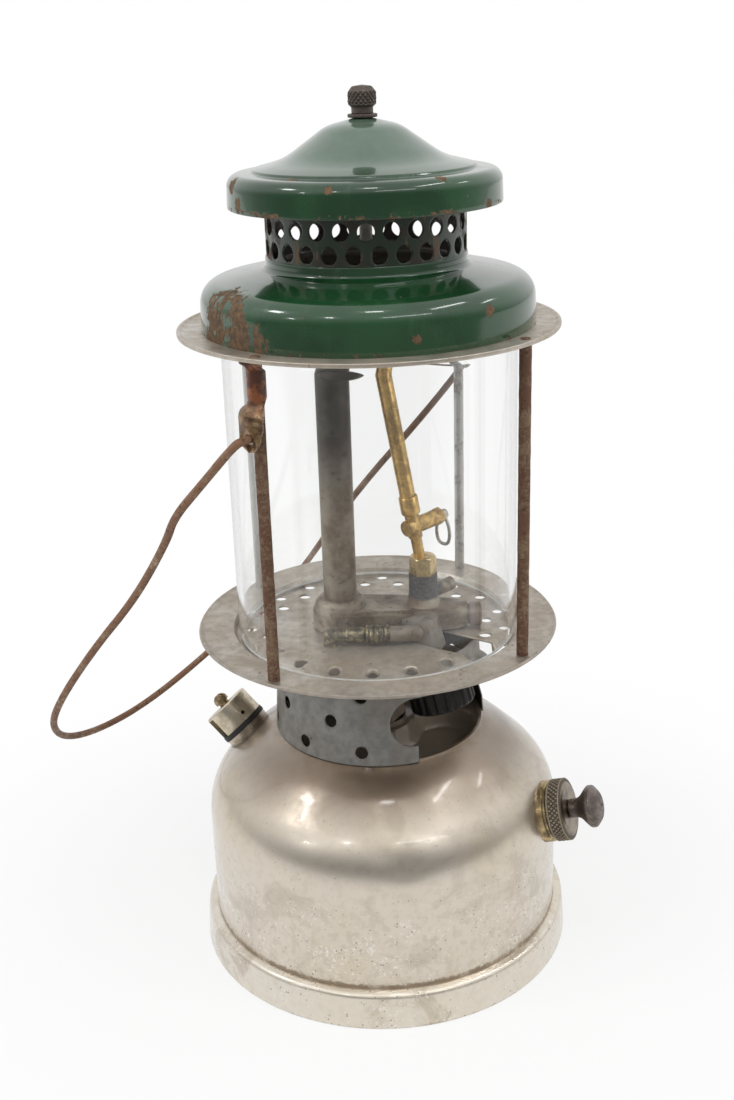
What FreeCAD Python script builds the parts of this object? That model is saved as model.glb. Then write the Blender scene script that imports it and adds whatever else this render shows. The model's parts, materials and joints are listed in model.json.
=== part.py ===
"""Two-mantle kerosene pressure lantern, built as separate pieces.

Millimetres, +Z up.  The origin is the middle of the foot, on the surface that
the lantern stands on.  +X points at the pump side and +Y at the back.  One
STEP file is written for each piece.
"""
import FreeCAD
import Part
import math
import os

V = FreeCAD.Vector
UP = V(0, 0, 1)

# ---------------------------------------------------------------- driving sizes
# Fount (fuel tank)
FOUNT_RADIUS = 74.5
FOUNT_WALL = 0.8
SHOULDER_START = 60.0        # height where the upright side ends
SHOULDER_ROUND = 28.0        # radius of the round shoulder
SHOULDER_SWEEP = 50.0        # degrees that the shoulder turns before the cone
LIP_RADIUS = 43.4            # where the cone ends in the beaded lip
LIP_BEAD = 1.1               # radius of the bead
CROWN_DROP = 1.0             # crown lies this far below the end of the cone
FOUNT_FLOOR = 5.0            # height of the fount's bottom sheet at its rim
BOTTOM_DISH = 3.0            # the bottom rises this much towards its middle
BOTTOM_RIM = 3.0             # its turned-down rim, level with the fount's edge
WELL_DEPTH = 8.15            # the finger well under the valve wheel, below the crown
WELL_WIDTH = 26.0
WELL_RADIUS = 27.5           # middle line of the well
WELL_SPREAD = 21.0           # degrees that the well runs each side of the wheel

# Foot band
FOOT_RADIUS = 79.4
FOOT_WAIST = 78.7
FOOT_SIDE = 11.0             # height of the upright side
FOOT_HEIGHT = 16.2
BAND_WALL = 0.9

# Filler
FILLER_AZIMUTH = 161.0
FILLER_TILT = 45.0           # its axis above the horizon
FILLER_SEAT_RADIUS = 62.6    # where its axis leaves the fount, from the middle
FILLER_SEAT_HEIGHT = 84.4
FILLER_CAP_RADIUS = 10.6
FILLER_CAP_HEIGHT = 10.8
FILLER_CAP_WALL = 1.4
FILLER_BORE = 6.0
FILLER_NECK_RADIUS = 7.6
FILLER_FLANGE = 1.3
GASKET_THICK = 2.4
FILLER_THREAD = 6.0          # length of the cap's screwed spigot
VENT_HEAD_RADIUS = 3.3
VENT_SHANK_RADIUS = 1.6

# Pump
PUMP_AZIMUTH = -19.9
PUMP_TILT = 16.6
PUMP_SEAT_RADIUS = 72.8
PUMP_SEAT_HEIGHT = 65.0
PUMP_FLANGE_RADIUS = 12.7
PUMP_FLANGE_THICK = 3.2
PUMP_CAP_RADIUS = 12.9
PUMP_CAP_HEIGHT = 6.8
PUMP_BARREL_RADIUS = 9.5
PUMP_BARREL_WALL = 0.8
CHECK_VALVE_LENGTH = 9.0
CHECK_VALVE_ROOM = 3.97      # between the check valve and the pickup tube
PUMP_ROD_RADIUS = 2.2
PUMP_STROKE = 42.0
KNOB_RADIUS = 8.7
KNOB_NECK_RADIUS = 3.9
KNOB_LENGTH = 13.8

# Fuel column and valve
BUNG_RADIUS = 11.0
BUNG_HEIGHT = 8.0
COLUMN_RADIUS = 6.0
COLUMN_BORE = 2.4
COLUMN_ENGAGED = 5.0         # length of the column below the crown
PICKUP_RADIUS = 3.0
PICKUP_BORE = 2.2
PICKUP_BOTTOM = 9.0
PICKUP_NUT_RADIUS = 5.5
PICKUP_NUT_HEIGHT = 5.0
VALVE_AZIMUTH = -34.0
VALVE_TILT = 17.0            # valve axis off the vertical, its top inward
VALVE_ENTRY_RADIUS = 20.13   # where the valve's axis enters the casting
WHEEL_RADIUS = 13.4
WHEEL_HEIGHT = 23.0
WHEEL_FLUTES = 20
WHEEL_FLUTE_RADIUS = 1.5
STEM_RADIUS = 2.2
STEM_PLAY = 0.1
NEEDLE_RADIUS = 1.1
NEEDLE_LENGTH = 2.4
NEEDLE_TRAVEL = 1.2
BONNET_RADIUS = 7.4
BONNET_LENGTH = 16.06
BONNET_SUNK = 1.0            # how far the bonnet is let into the casting
WHEEL_GAP = 1.2              # between the wheel and the bonnet

# Collar
COLLAR_BOTTOM_RADIUS = 44.2
COLLAR_TOP_RADIUS = 41.8
COLLAR_WALL = 0.8
COLLAR_HOLE = 2.6            # radius of an air hole
COLLAR_HOLE_STEP = 34.0      # degrees between the holes of a row
COLLAR_HOLE_PHASE = -100.3
COLLAR_ROWS = (105.0, 117.2, 128.8)
CUTOUT_RADIUS = 10.2
CUTOUT_HEIGHT = 116.8        # middle of the round end of the cut-out
CUTOUT_SPREAD = 37.4         # degrees from the wheel to the round end
CUTOUT_EDGE = 36.0           # degrees from the wheel to the upright edge

# Frame
PLATE_SEAT = 142.0           # top of the perforated disc
PLATE_STEP = 2.6             # the outer flange stands this far above it
PLATE_RADIUS = 73.7
PLATE_SHEET = 0.9
PLATE_HOLE = 2.5
PLATE_HOLES = 19
PLATE_HOLE_RINGS = (45.4, 52.6)
PLATE_HOLE_PHASE = 77.5
SLOT_WIDTH = 16.0
SLOT_START = 14.0
RING_RADIUS = 73.4
RING_SHEET = 0.9
POST_RADIUS = 2.35
POST_CIRCLE = 68.5
POST_AZIMUTHS = {"front_left": 234.6, "front_right": 324.6,
                 "back_right": 54.6, "back_left": 144.6}
TENON_RADIUS = 1.5
RIVET_HEAD_RADIUS = 2.8
RIVET_HEAD_HEIGHT = 0.7

# Globe
GLOBE_RADIUS = 57.15
GLOBE_WALL = 2.4
GLOBE_HEIGHT = 123.8
GLOBE_PLAY = 1.2             # room round the globe in the plate and the ring
GLOBE_ROOM = 1.4             # from the globe's top up to the ring's underside
SEAT_GAP = 0.3               # between a loose piece and its seat

# Bail and its ears
HINGE_DROP = 27.2            # the bail's hinge, below the ring
BAIL_AZIMUTH = 234.6         # the front ear; the other is opposite
BAIL_LEAN = 40.5             # degrees that the resting bail stands off the plumb line
BAIL_WIRE = 1.65
EAR_RADIUS = 74.8            # outer face of an ear at its hole
EAR_SHEET = 1.2
EAR_WIDTH = 10.5
EAR_WAIST = 7.4
EAR_TAB = 3.0                # height of the wide tab under the ring
EAR_FOOT = 5.0               # the lobe's end, below the hinge
EAR_LOBE = 7.2               # the lobe's wide part, above the hinge
EAR_JOG = 6.5                # height over which the strip steps in to the post
EAR_WRAP = 8.0               # height of the wrap round the post
BAIL_HOLE_PLAY = 0.3
BAIL_END = 72.4              # the wire's end, from the middle of the lantern
# corners of the bent wire in its own plane: (along the hinge, away from it)
BAIL_CORNERS = ((-82.0, 0.0), (-85.6, 20.0), (-89.6, 37.5), (-82.0, 57.0), (-75.6, 97.0),
                (-80.4, 128.0), (-79.2, 168.0), (-70.5, 198.0), (-47.0, 228.0), (-15.0, 244.5),
                (18.0, 243.5), (45.0, 218.0), (70.0, 172.0), (75.5, 148.0), (68.5, 92.0),
                (79.0, 40.0), (82.0, 0.0))

# Hood (ventilator)
DOME_RADIUS = 63.9
DOME_SIDE = 10.5             # height of the dome's upright side
DOME_HEIGHT = 20.0           # to the flat of its shoulder
HOOD_SHEET = 0.9
NECK_RADIUS = 37.8
NECK_RISE = 22.6             # foot of the neck, above the ring
NECK_HOLE = 3.15
NECK_HOLES = 26
NECK_ROWS = (7.8, 16.1)      # heights of the rows above the neck's foot
HAT_RADIUS = 51.4
HAT_RISE = 45.0              # rim of the hat, above the ring
HAT_HEIGHT = 30.0
HAT_BORE = 2.8

# Burner
CASTING_SPACER = 1.0         # the casting stands this far above the plate
CASTING_HEIGHT = 9.0
TUBE_X = -15.0
TUBE_RADIUS = 6.8
TUBE_BORE = 5.9
TUBE_SEAT_RISE = 3.3         # the tube's seat, above the casting
CHAMBER_X = -11.2
CHAMBER_RADIUS = 10.4
CHAMBER_DROP = 20.6          # the chamber's bottom, below the arms
ARM_X = -3.0
ARM_RISE = 0.5               # the burner's arms, above the ring's underside
ARM_RADIUS = 7.5
ARM_REACH = 27.0
CAP_Y = 21.0
CAP_RADIUS = 7.8
CAP_DROP = 11.8              # the caps' lower face, below the arms
CAP_HEIGHT = 6.2
CAP_PIN_BORE = 6.2
RISER_X, RISER_Y = 19.2, -1.5
RISER_RADIUS = 5.9
RISER_RISE = 13.0            # top of the riser, above the casting
HEX_ACROSS = 9.6
HEX_HEIGHT = 7.6
GENERATOR_RADIUS = 3.2
GENERATOR_BORE = 2.4
GENERATOR_X = 4.4            # the generator's top
GENERATOR_DROP = 16.0        # below the arms
SLEEVE_START, SLEEVE_END = 26.0, 33.6    # along the generator, from the riser's top
LOWER_TUBE_RADIUS = 2.3
BLOCK_RADIUS = 3.3
BLOCK_AZIMUTH = 44.5
BLOCK_RISE = 1.5
BLOCK_DISTANCE = 20.5        # from the riser's top up to the block's axis
BLOCK_FRONT = 4.2
BLOCK_REACH = 12.4
SPINDLE_RADIUS = 1.15
GLAND_HEIGHT = 3.4
LOOP_WIRE = 0.7
LOOP_WIDTH = 9.0
LOOP_DROP = 13.0
LOOP_HUB_RADIUS = 2.0
LOOP_HUB_LENGTH = 3.2
HEAD_PORT = 3.4              # from the generator's axis to the end of the vaporiser tube
UNDER_RUN = 7.0              # the vaporiser tube runs this far below the globe's seat
FEED_RADIUS = 2.4
FEED_X, FEED_Y = -15.5, 14.5
NOZZLE_X, NOZZLE_Y = 43.0, -4.6
NOZZLE_RISE = 5.6            # the bore of the nose, above the plate
NOSE_RADIUS = 5.2
PLUG_RADIUS = 3.4
PLUG_HEAD = 6.0
LINE_Y = -20.0               # short fuel line in front of the casting
LINE_RISE = 4.4              # above the plate
VALVE_SPIGOT_X = 5.0         # where the valve's outlet branch begins
ELBOW_X = -19.0
LINE_RADIUS = 3.2
PACKING_LENGTH = 10.0
SCREW_RADIUS = 1.5
SCREW_PLACES = ((-22.0, -4.5), (-9.0, 7.2))
AIR_FROM = (20.2, -0.5, 3.2)             # the side intake, above the casting
AIR_TO = (31.5, 8.6, 4.2)
AIR_RADIUS = 2.9
STUD_RADIUS = 2.4
STUD_PROUD = 7.1             # the stud's end, above the hat

# Ball nut
NUT_RADIUS = 5.3
NUT_NECK = 4.0
NUT_BORE = 2.5
WASHER_RADIUS = 5.5
WASHER_THICK = 1.3


# ---------------------------------------------------------------- shape helpers
def polar(radius, azimuth, height=0.0):
    """A point given by its distance from the middle, its azimuth and its height."""
    a = math.radians(azimuth)
    return V(radius * math.cos(a), radius * math.sin(a), height)


def heading(azimuth, elevation):
    """Unit vector with an azimuth and an angle above the horizon."""
    e = math.radians(elevation)
    return polar(math.cos(e), azimuth, math.sin(e))


def turned(outline):
    """Solid turned about Z from a closed (r, z) outline.

    An item is a point, reached by a straight line, or a pair of points,
    reached by an arc that passes through the first."""
    first = outline[0]
    last = V(first[0], 0, first[1])
    edges = []
    for item in list(outline[1:]) + [first]:
        curved = isinstance(item[0], tuple)
        end = item[1] if curved else item
        point = V(end[0], 0, end[1])
        if (point - last).Length < 1e-6:
            continue
        if curved:
            edges.append(Part.Arc(last, V(item[0][0], 0, item[0][1]), point).toShape())
        else:
            edges.append(Part.makeLine(last, point))
        last = point
    return Part.Face(Part.Wire(edges)).revolve(V(0, 0, 0), UP, 360)


def cylinder(radius, bottom, top, x=0.0, y=0.0):
    return Part.makeCylinder(radius, top - bottom, V(x, y, bottom), UP)


def pipe(outer, inner, bottom, top, x=0.0, y=0.0):
    return cylinder(outer, bottom, top, x, y).cut(cylinder(inner, bottom - 1, top + 1, x, y))


def rod(radius, start, end):
    """Round bar between two points."""
    run = V(*end) - V(*start)
    return Part.makeCylinder(radius, run.Length, V(*start), run)


def placed(shape, origin, direction, spin=0.0):
    """A shape drawn about the Z axis, set at an origin with its axis along a direction."""
    out = shape.copy()
    turn = FreeCAD.Rotation(UP, direction).multiply(FreeCAD.Rotation(UP, spin))
    out.Placement = FreeCAD.Placement(origin, turn)
    return out


def union(shapes):
    shapes = list(shapes)
    if len(shapes) == 1:
        return shapes[0]
    return shapes[0].fuse(shapes[1:]).removeSplitter()


def around(shape, count, phase=0.0, step=None):
    """Copies of a shape turned about Z."""
    step = 360.0 / count if step is None else step
    copies = []
    for k in range(count):
        copy = shape.copy()
        copy.rotate(V(0, 0, 0), UP, phase + k * step)
        copies.append(copy)
    return copies


def hexagon(across, height):
    """Upright hexagonal bar, by its width across the flats."""
    corner = across / math.sqrt(3)
    points = [polar(corner, 60 * k) for k in range(7)]
    return Part.Face(Part.makePolygon(points)).extrude(V(0, 0, height))


def rounded_path(points, fraction=0.45, radius=None):
    """Wire of straight runs joined by tangent arcs.

    The arcs are as large as the fraction of the runs allows, or have the radius."""
    points = [V(*p) for p in points]
    edges, last = [], points[0]
    for before, corner, after in zip(points, points[1:], points[2:]):
        a, b = before - corner, after - corner
        half = (math.pi - a.getAngle(b)) / 2
        tangent = fraction * min(a.Length, b.Length)
        if radius is not None:
            tangent = min(tangent, radius * math.tan(half))
        bend = tangent / math.tan(half)
        a.normalize()
        b.normalize()
        start, end = corner + a * tangent, corner + b * tangent
        inward = (a + b).normalize()
        middle = corner + inward * (bend / math.cos(half) - bend)
        edges += [Part.makeLine(last, start), Part.Arc(start, middle, end).toShape()]
        last = end
    edges.append(Part.makeLine(last, points[-1]))
    return Part.Wire(edges)


def swept_rod(points, radius, fraction=0.45, bend=None):
    """Round wire that follows a rounded path."""
    path = rounded_path(points, fraction, bend)
    direction = V(*points[1]) - V(*points[0])
    section = Part.Wire(Part.makeCircle(radius, V(*points[0]), direction))
    return path.makePipeShell([section], True, True)


# ---------------------------------------------------------------- shared places
def shoulder_end():
    """Radius and height where the round shoulder passes into the cone."""
    s = math.radians(SHOULDER_SWEEP)
    return (FOUNT_RADIUS - SHOULDER_ROUND + SHOULDER_ROUND * math.cos(s),
            SHOULDER_START + SHOULDER_ROUND * math.sin(s))


def cone_height(radius):
    """Height of the fount's cone at a distance from the middle."""
    r, z = shoulder_end()
    return z + (r - radius) / math.tan(math.radians(SHOULDER_SWEEP))


CROWN = cone_height(LIP_RADIUS) - CROWN_DROP
WELL_FLOOR = CROWN - WELL_DEPTH
COLUMN_FOOT = CROWN - COLUMN_ENGAGED
FILLER_AXIS = heading(FILLER_AZIMUTH, FILLER_TILT)
FILLER_SEAT = polar(FILLER_SEAT_RADIUS, FILLER_AZIMUTH, FILLER_SEAT_HEIGHT)
PUMP_AXIS = heading(PUMP_AZIMUTH, PUMP_TILT)
PUMP_SEAT = polar(PUMP_SEAT_RADIUS, PUMP_AZIMUTH, PUMP_SEAT_HEIGHT)
PUMP_REACH = PUMP_SEAT_RADIUS / math.cos(math.radians(PUMP_TILT)) - PICKUP_RADIUS
PUMP_BARREL_LENGTH = PUMP_REACH - CHECK_VALVE_ROOM - CHECK_VALVE_LENGTH
VALVE_AXIS = heading(VALVE_AZIMUTH + 180, 90 - VALVE_TILT)
PLATE_FLANGE = PLATE_SEAT + PLATE_STEP
GLOBE_BOTTOM = PLATE_SEAT + SEAT_GAP
RING_UNDERSIDE = GLOBE_BOTTOM + GLOBE_HEIGHT + GLOBE_ROOM
RING_TOP = RING_UNDERSIDE + RING_SHEET
HINGE_HEIGHT = RING_UNDERSIDE - HINGE_DROP
HOOD_BOTTOM = RING_TOP
NECK_BOTTOM = HOOD_BOTTOM + NECK_RISE
HAT_RIM = HOOD_BOTTOM + HAT_RISE
HAT_TOP = HAT_RIM + HAT_HEIGHT
STUD_TOP = HAT_TOP + STUD_PROUD
CASTING_BOTTOM = PLATE_SEAT + CASTING_SPACER
CASTING_TOP = CASTING_BOTTOM + CASTING_HEIGHT
VALVE_ENTRY = polar(VALVE_ENTRY_RADIUS, VALVE_AZIMUTH, CASTING_TOP - BONNET_SUNK)
WHEEL_SEAT = VALVE_ENTRY - VALVE_AXIS * (BONNET_LENGTH + WHEEL_GAP + WHEEL_HEIGHT)
TUBE_FOOT = CASTING_TOP + TUBE_SEAT_RISE
RISER_TOP = CASTING_TOP + RISER_RISE
NOZZLE_Z = PLATE_SEAT + NOZZLE_RISE
LINE_Z = PLATE_SEAT + LINE_RISE
AIR_START = V(*AIR_FROM) + UP * CASTING_TOP
AIR_END = V(*AIR_TO) + UP * CASTING_TOP
ARM_HEIGHT = RING_UNDERSIDE + ARM_RISE
CHAMBER_BOTTOM = ARM_HEIGHT - CHAMBER_DROP
CAP_BOTTOM = ARM_HEIGHT - CAP_DROP
GENERATOR_TOP = (GENERATOR_X, 0.0, ARM_HEIGHT - GENERATOR_DROP)
DISH_RADIUS = GLOBE_RADIUS + GLOBE_PLAY
RISER_POINT = V(RISER_X, RISER_Y, RISER_TOP)
GENERATOR_AXIS = (V(*GENERATOR_TOP) - RISER_POINT).normalize()
NOSE_AXIS = V(NOZZLE_X - TUBE_X, NOZZLE_Y, 0).normalize()
NOSE_FACE = V(NOZZLE_X, NOZZLE_Y, NOZZLE_Z) - NOSE_AXIS * PLUG_HEAD
BLOCK_CENTRE = RISER_POINT + GENERATOR_AXIS * BLOCK_DISTANCE
BLOCK_AXIS = heading(BLOCK_AZIMUTH, BLOCK_RISE)


def along_generator(distance):
    return RISER_POINT + GENERATOR_AXIS * distance


# ---------------------------------------------------------------- fount
def fount_body(inset, floor):
    """Solid fount, drawn in by an inset on every side."""
    s = math.radians(SHOULDER_SWEEP)
    centre_r = FOUNT_RADIUS - SHOULDER_ROUND
    arc = SHOULDER_ROUND - inset
    end = (centre_r + arc * math.cos(s), SHOULDER_START + arc * math.sin(s))
    mid = (centre_r + arc * math.cos(s / 2), SHOULDER_START + arc * math.sin(s / 2))
    drop = inset / math.sin(s)
    lip = cone_height(LIP_RADIUS) - drop
    outline = [(0, floor), (FOUNT_RADIUS - inset, floor), (FOUNT_RADIUS - inset, SHOULDER_START),
               (mid, end), (LIP_RADIUS, lip)]
    if inset == 0:
        outline.append(((LIP_RADIUS - LIP_BEAD, lip + LIP_BEAD), (LIP_RADIUS - 2 * LIP_BEAD, lip)))
        outline.append((LIP_RADIUS - 2 * LIP_BEAD, CROWN))
    outline.append((LIP_RADIUS - 2 * LIP_BEAD - inset, CROWN - inset))
    outline.append((0, CROWN - inset))
    return turned(outline)


def well(grow, floor):
    """Kidney-shaped tool that sinks the finger well into the crown."""
    half = WELL_WIDTH / 2 + grow
    top = CROWN + 20
    sector = pipe(WELL_RADIUS + half, WELL_RADIUS - half, floor, top)
    wedge_face = Part.Face(Part.makePolygon([
        V(0, 0, floor), polar(90, VALVE_AZIMUTH - WELL_SPREAD, floor),
        polar(90, VALVE_AZIMUTH, floor), polar(90, VALVE_AZIMUTH + WELL_SPREAD, floor),
        V(0, 0, floor)]))
    sector = sector.common(wedge_face.extrude(V(0, 0, top - floor)))
    ends = [Part.makeCylinder(half, top - floor, polar(WELL_RADIUS, VALVE_AZIMUTH + side, floor), UP)
            for side in (-WELL_SPREAD, WELL_SPREAD)]
    return union([sector] + ends)


def fount_shell():
    outer = fount_body(0, FOUNT_FLOOR - BOTTOM_RIM).cut(well(0, WELL_FLOOR))
    inner = fount_body(FOUNT_WALL, FOUNT_FLOOR - BOTTOM_RIM - 1)
    inner = inner.cut(well(FOUNT_WALL, WELL_FLOOR - FOUNT_WALL))
    shell = outer.cut(inner)
    shell = shell.cut(cylinder(COLUMN_RADIUS + 1.0, CROWN - 5, CROWN + 5))
    filler = placed(cylinder(FILLER_NECK_RADIUS, -12, 12), FILLER_SEAT, FILLER_AXIS)
    barrel = placed(cylinder(PUMP_BARREL_RADIUS + 1.0, -12, 20), PUMP_SEAT, PUMP_AXIS)
    return shell.cut(filler).cut(barrel)


def fount_bottom():
    """Pressed bottom sheet with a shallow inward dish and a turned-down rim."""
    rim, sheet, low = FOUNT_RADIUS - FOUNT_WALL, FOUNT_WALL, FOUNT_FLOOR
    flat, slope = 0.3 * rim, rim - 8.0
    high = low + BOTTOM_DISH
    bend = ((flat + slope) / 2, (low + high) / 2 + 0.6)
    return turned([(0, high), (flat, high), (bend, (slope, low)), (rim - sheet, low),
                   (rim - sheet, low - BOTTOM_RIM), (rim, low - BOTTOM_RIM), (rim, low + sheet),
                   (slope, low + sheet), ((bend[0], bend[1] + sheet), (flat, high + sheet)),
                   (0, high + sheet)])


def foot_band():
    """Rolled band round the fount's foot, which the lantern stands on."""
    w = BAND_WALL
    join = FOUNT_RADIUS
    rise = FOOT_HEIGHT - FOOT_SIDE
    span = FOOT_WAIST - join - 0.8
    bead = (FOOT_WAIST - span * 0.28, FOOT_SIDE + rise * 0.72)
    under = (bead[0] - 0.7 * w, bead[1] - 0.7 * w)
    return turned([(FOOT_RADIUS - 2 * w, 0), (FOOT_RADIUS - 0.4, 0), (FOOT_RADIUS, 0.4),
                   (FOOT_WAIST, FOOT_SIDE), (bead, (join + 0.8, FOOT_HEIGHT)),
                   (join, FOOT_HEIGHT), (join, FOOT_HEIGHT - w),
                   (under, (FOOT_WAIST - w, FOOT_SIDE)),
                   (FOOT_RADIUS - w, 2 * w), (FOOT_RADIUS - 2 * w, 2 * w)])


# ---------------------------------------------------------------- filler
def filler_bung():
    """Screwed neck soldered into the shoulder, with a flange for the gasket."""
    reach = FILLER_THREAD + 3.0
    neck = pipe(FILLER_NECK_RADIUS, FILLER_BORE, -reach, FILLER_FLANGE)
    saddle = pipe(FILLER_CAP_RADIUS, FILLER_BORE, -4.0, FILLER_FLANGE)
    solid = placed(union([neck, saddle]), FILLER_SEAT, FILLER_AXIS)
    return solid.cut(fount_shell_skin())


def fount_shell_skin():
    """The fount's wall and inside as one plain body, for seating what is soldered to it."""
    neck_hole = placed(cylinder(FILLER_NECK_RADIUS, -20, 20), FILLER_SEAT, FILLER_AXIS)
    pump_hole = placed(cylinder(PUMP_BARREL_RADIUS + 1.0, -20, 20), PUMP_SEAT, PUMP_AXIS)
    return fount_body(0, FOUNT_FLOOR - BOTTOM_RIM).cut(neck_hole).cut(pump_hole)


def filler_gasket():
    ring = pipe(FILLER_CAP_RADIUS + 0.3, FILLER_BORE, 0, GASKET_THICK)
    return placed(ring, FILLER_SEAT + FILLER_AXIS * FILLER_FLANGE, FILLER_AXIS)


def filler_cap():
    """Screw cap with a hollow spigot, spanner notches and a side bleed hole."""
    h, r = FILLER_CAP_HEIGHT, FILLER_CAP_RADIUS
    body = turned([(0, 0), (r, 0), (r, h - 0.5), (r - 0.5, h), (0, h)])
    spigot = cylinder(FILLER_BORE - 0.1, -FILLER_THREAD, 0)
    hollow = cylinder(FILLER_BORE - FILLER_CAP_WALL, -FILLER_THREAD - 1, h - 3.0)
    cap = union([body, spigot]).cut(hollow)
    notch = Part.makeBox(4.0, 6.5, h, V(r - 3.0, -3.25, -1.0))
    cap = cap.cut(union(around(notch, 2)))
    bleed = rod(0.9, (0, -r - 1, 3.2), (0, 0, 3.2))
    cap = cap.cut(bleed)
    cap = cap.cut(cylinder(VENT_SHANK_RADIUS + 0.1, h - 4.0, h + 1))
    return placed(cap, filler_cap_origin(), FILLER_AXIS, 35)


def filler_cap_origin():
    return FILLER_SEAT + FILLER_AXIS * (FILLER_FLANGE + GASKET_THICK)


def filler_vent_screw():
    """Round-headed slotted screw that lets the air out."""
    r, neck = VENT_HEAD_RADIUS, 1.4
    head = turned([(0, neck), (r, neck), (r, neck + 1.0), ((r * 0.75, neck + 3.1), (0, neck + 4.0))])
    shank = cylinder(VENT_SHANK_RADIUS, -2.8, neck)
    collar = cylinder(VENT_SHANK_RADIUS + 0.7, 0, neck)
    slot = Part.makeBox(1.0, 3 * r, 2.4, V(-0.5, -1.5 * r, neck + 2.4))
    screw = union([head, shank, collar]).cut(slot)
    return placed(screw, filler_cap_origin() + FILLER_AXIS * FILLER_CAP_HEIGHT, FILLER_AXIS, 60)


# ---------------------------------------------------------------- pump
def pump_frame(shape, spin=0.0):
    return placed(shape, PUMP_SEAT, PUMP_AXIS, spin)


def pump_bung():
    """Turned flange and neck, soldered into the fount."""
    neck = cylinder(PUMP_BARREL_RADIUS + 1.0, -7, PUMP_FLANGE_THICK)
    flange = turned([(0, -3.0), (PUMP_FLANGE_RADIUS, -3.0),
                     (PUMP_FLANGE_RADIUS, PUMP_FLANGE_THICK - 1.2),
                     (PUMP_FLANGE_RADIUS - 0.7, PUMP_FLANGE_THICK - 0.9),
                     (PUMP_FLANGE_RADIUS - 0.7, PUMP_FLANGE_THICK), (0, PUMP_FLANGE_THICK)])
    bung = pump_frame(union([neck, flange])).cut(fount_shell_skin())
    return bung.cut(pump_frame(cylinder(PUMP_BARREL_RADIUS, -20, 20)))


def pump_barrel():
    tube = pipe(PUMP_BARREL_RADIUS, PUMP_BARREL_RADIUS - PUMP_BARREL_WALL,
                -PUMP_BARREL_LENGTH, PUMP_FLANGE_THICK)
    return pump_frame(tube)


def pump_check_valve():
    """Plug that closes the barrel's inner end, with its ball chamber and ports."""
    r = PUMP_BARREL_RADIUS
    start = -PUMP_BARREL_LENGTH
    foot = start - CHECK_VALVE_LENGTH
    body = turned([(0, foot), (3.2, foot), (3.2, start - 4), (r, start - 4),
                   (r, start), (0, start)])
    bore = cylinder(0.8, start - 5, start + 1)
    ports = rod(0.7, (-5, 0, foot + 2), (5, 0, foot + 2))
    return pump_frame(body.cut(bore).cut(ports))


def pump_cap():
    """Knurled screw cap that guides the rod and holds the leather in."""
    f, r = PUMP_FLANGE_THICK, PUMP_CAP_RADIUS
    top = f + SEAT_GAP + PUMP_CAP_HEIGHT
    body = turned([(0, f + SEAT_GAP), (r - 0.6, f + SEAT_GAP), (r, f + SEAT_GAP + 0.5),
                   (r, top - 1.0), (r - 0.9, top - 0.3), (r - 3.5, top), (0, top)])
    spigot = cylinder(PUMP_BARREL_RADIUS - PUMP_BARREL_WALL, f - 5, f + SEAT_GAP)
    cap = union([body, spigot]).cut(cylinder(PUMP_ROD_RADIUS + 0.1, -20, 40))
    cap = cap.cut(cylinder(PUMP_BARREL_RADIUS - 3.5, f - 6, f - 1))
    return pump_frame(cap.cut(cylinder(0.9, f + 1, top + 1, 0, -6.2)))


def pump_rod():
    start = PUMP_FLANGE_THICK + SEAT_GAP + PUMP_CAP_HEIGHT
    return pump_frame(cylinder(PUMP_ROD_RADIUS, -PUMP_BARREL_LENGTH + 8.0, start + 4.0))


def pump_knob():
    """Waisted turned knob with a slightly crowned face."""
    a = PUMP_FLANGE_THICK + SEAT_GAP + PUMP_CAP_HEIGHT + SEAT_GAP
    b = a + KNOB_LENGTH
    r, n = KNOB_RADIUS, KNOB_NECK_RADIUS
    body = turned([(0, a), (n, a), (n, a + 2.6), ((n + 1.0, a + 6.0), (r - 0.9, b - 6.0)),
                   ((r + 0.1, b - 5.2), (r, b - 4.2)), ((r * 0.62, b - 1.2), (0, b))])
    socket = cylinder(PUMP_ROD_RADIUS, a - 1, a + 3.7)
    return pump_frame(body.cut(socket).cut(cylinder(0.7, b - 2.5, b + 1)))


def pump_leather():
    """Cupped leather that seals the plunger."""
    r = PUMP_BARREL_RADIUS - PUMP_BARREL_WALL - 0.08
    a = -PUMP_BARREL_LENGTH + 2.0
    return pump_frame(turned([(PUMP_ROD_RADIUS, a + 2.6), (r - 1.4, a + 2.6), (r - 1.4, a),
                              (r, a), (r, a + 3.2), (r - 0.8, a + 4.2), (PUMP_ROD_RADIUS, a + 4.2)]))


def pump_leather_washer():
    """Stepped washer and nut that clamp the leather on the rod."""
    a = -PUMP_BARREL_LENGTH + 2.0
    washer = pipe(6.5, PUMP_ROD_RADIUS, a + 4.2, a + 5.4)
    rod_end = cylinder(PUMP_ROD_RADIUS, a + 0.6, -PUMP_BARREL_LENGTH + 8.0)
    nut = pipe(4.2, PUMP_ROD_RADIUS, a + 0.6, a + 2.6)
    return pump_frame(union([nut, rod_end, washer]))


# ---------------------------------------------------------------- fuel column
def valve_bung():
    """Hexagonal bung soldered into the crown, which the column screws into."""
    skirt = cylinder(COLUMN_RADIUS + 1.0, COLUMN_FOOT - 1, CROWN + 1)
    base = turned([(0, CROWN), (BUNG_RADIUS, CROWN), (BUNG_RADIUS, CROWN + 2.4), (0, CROWN + 2.4)])
    head = hexagon(2 * BUNG_RADIUS - 4, BUNG_HEIGHT - 2.4)
    head.translate(V(0, 0, CROWN + 2.4))
    return union([skirt, base, head]).cut(cylinder(COLUMN_RADIUS, CROWN - 10, CROWN + 20))


def fuel_column():
    """Tube that carries the burner on the fount and the fuel up to the valve."""
    return pipe(COLUMN_RADIUS, COLUMN_BORE, COLUMN_FOOT, CASTING_BOTTOM)


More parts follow.
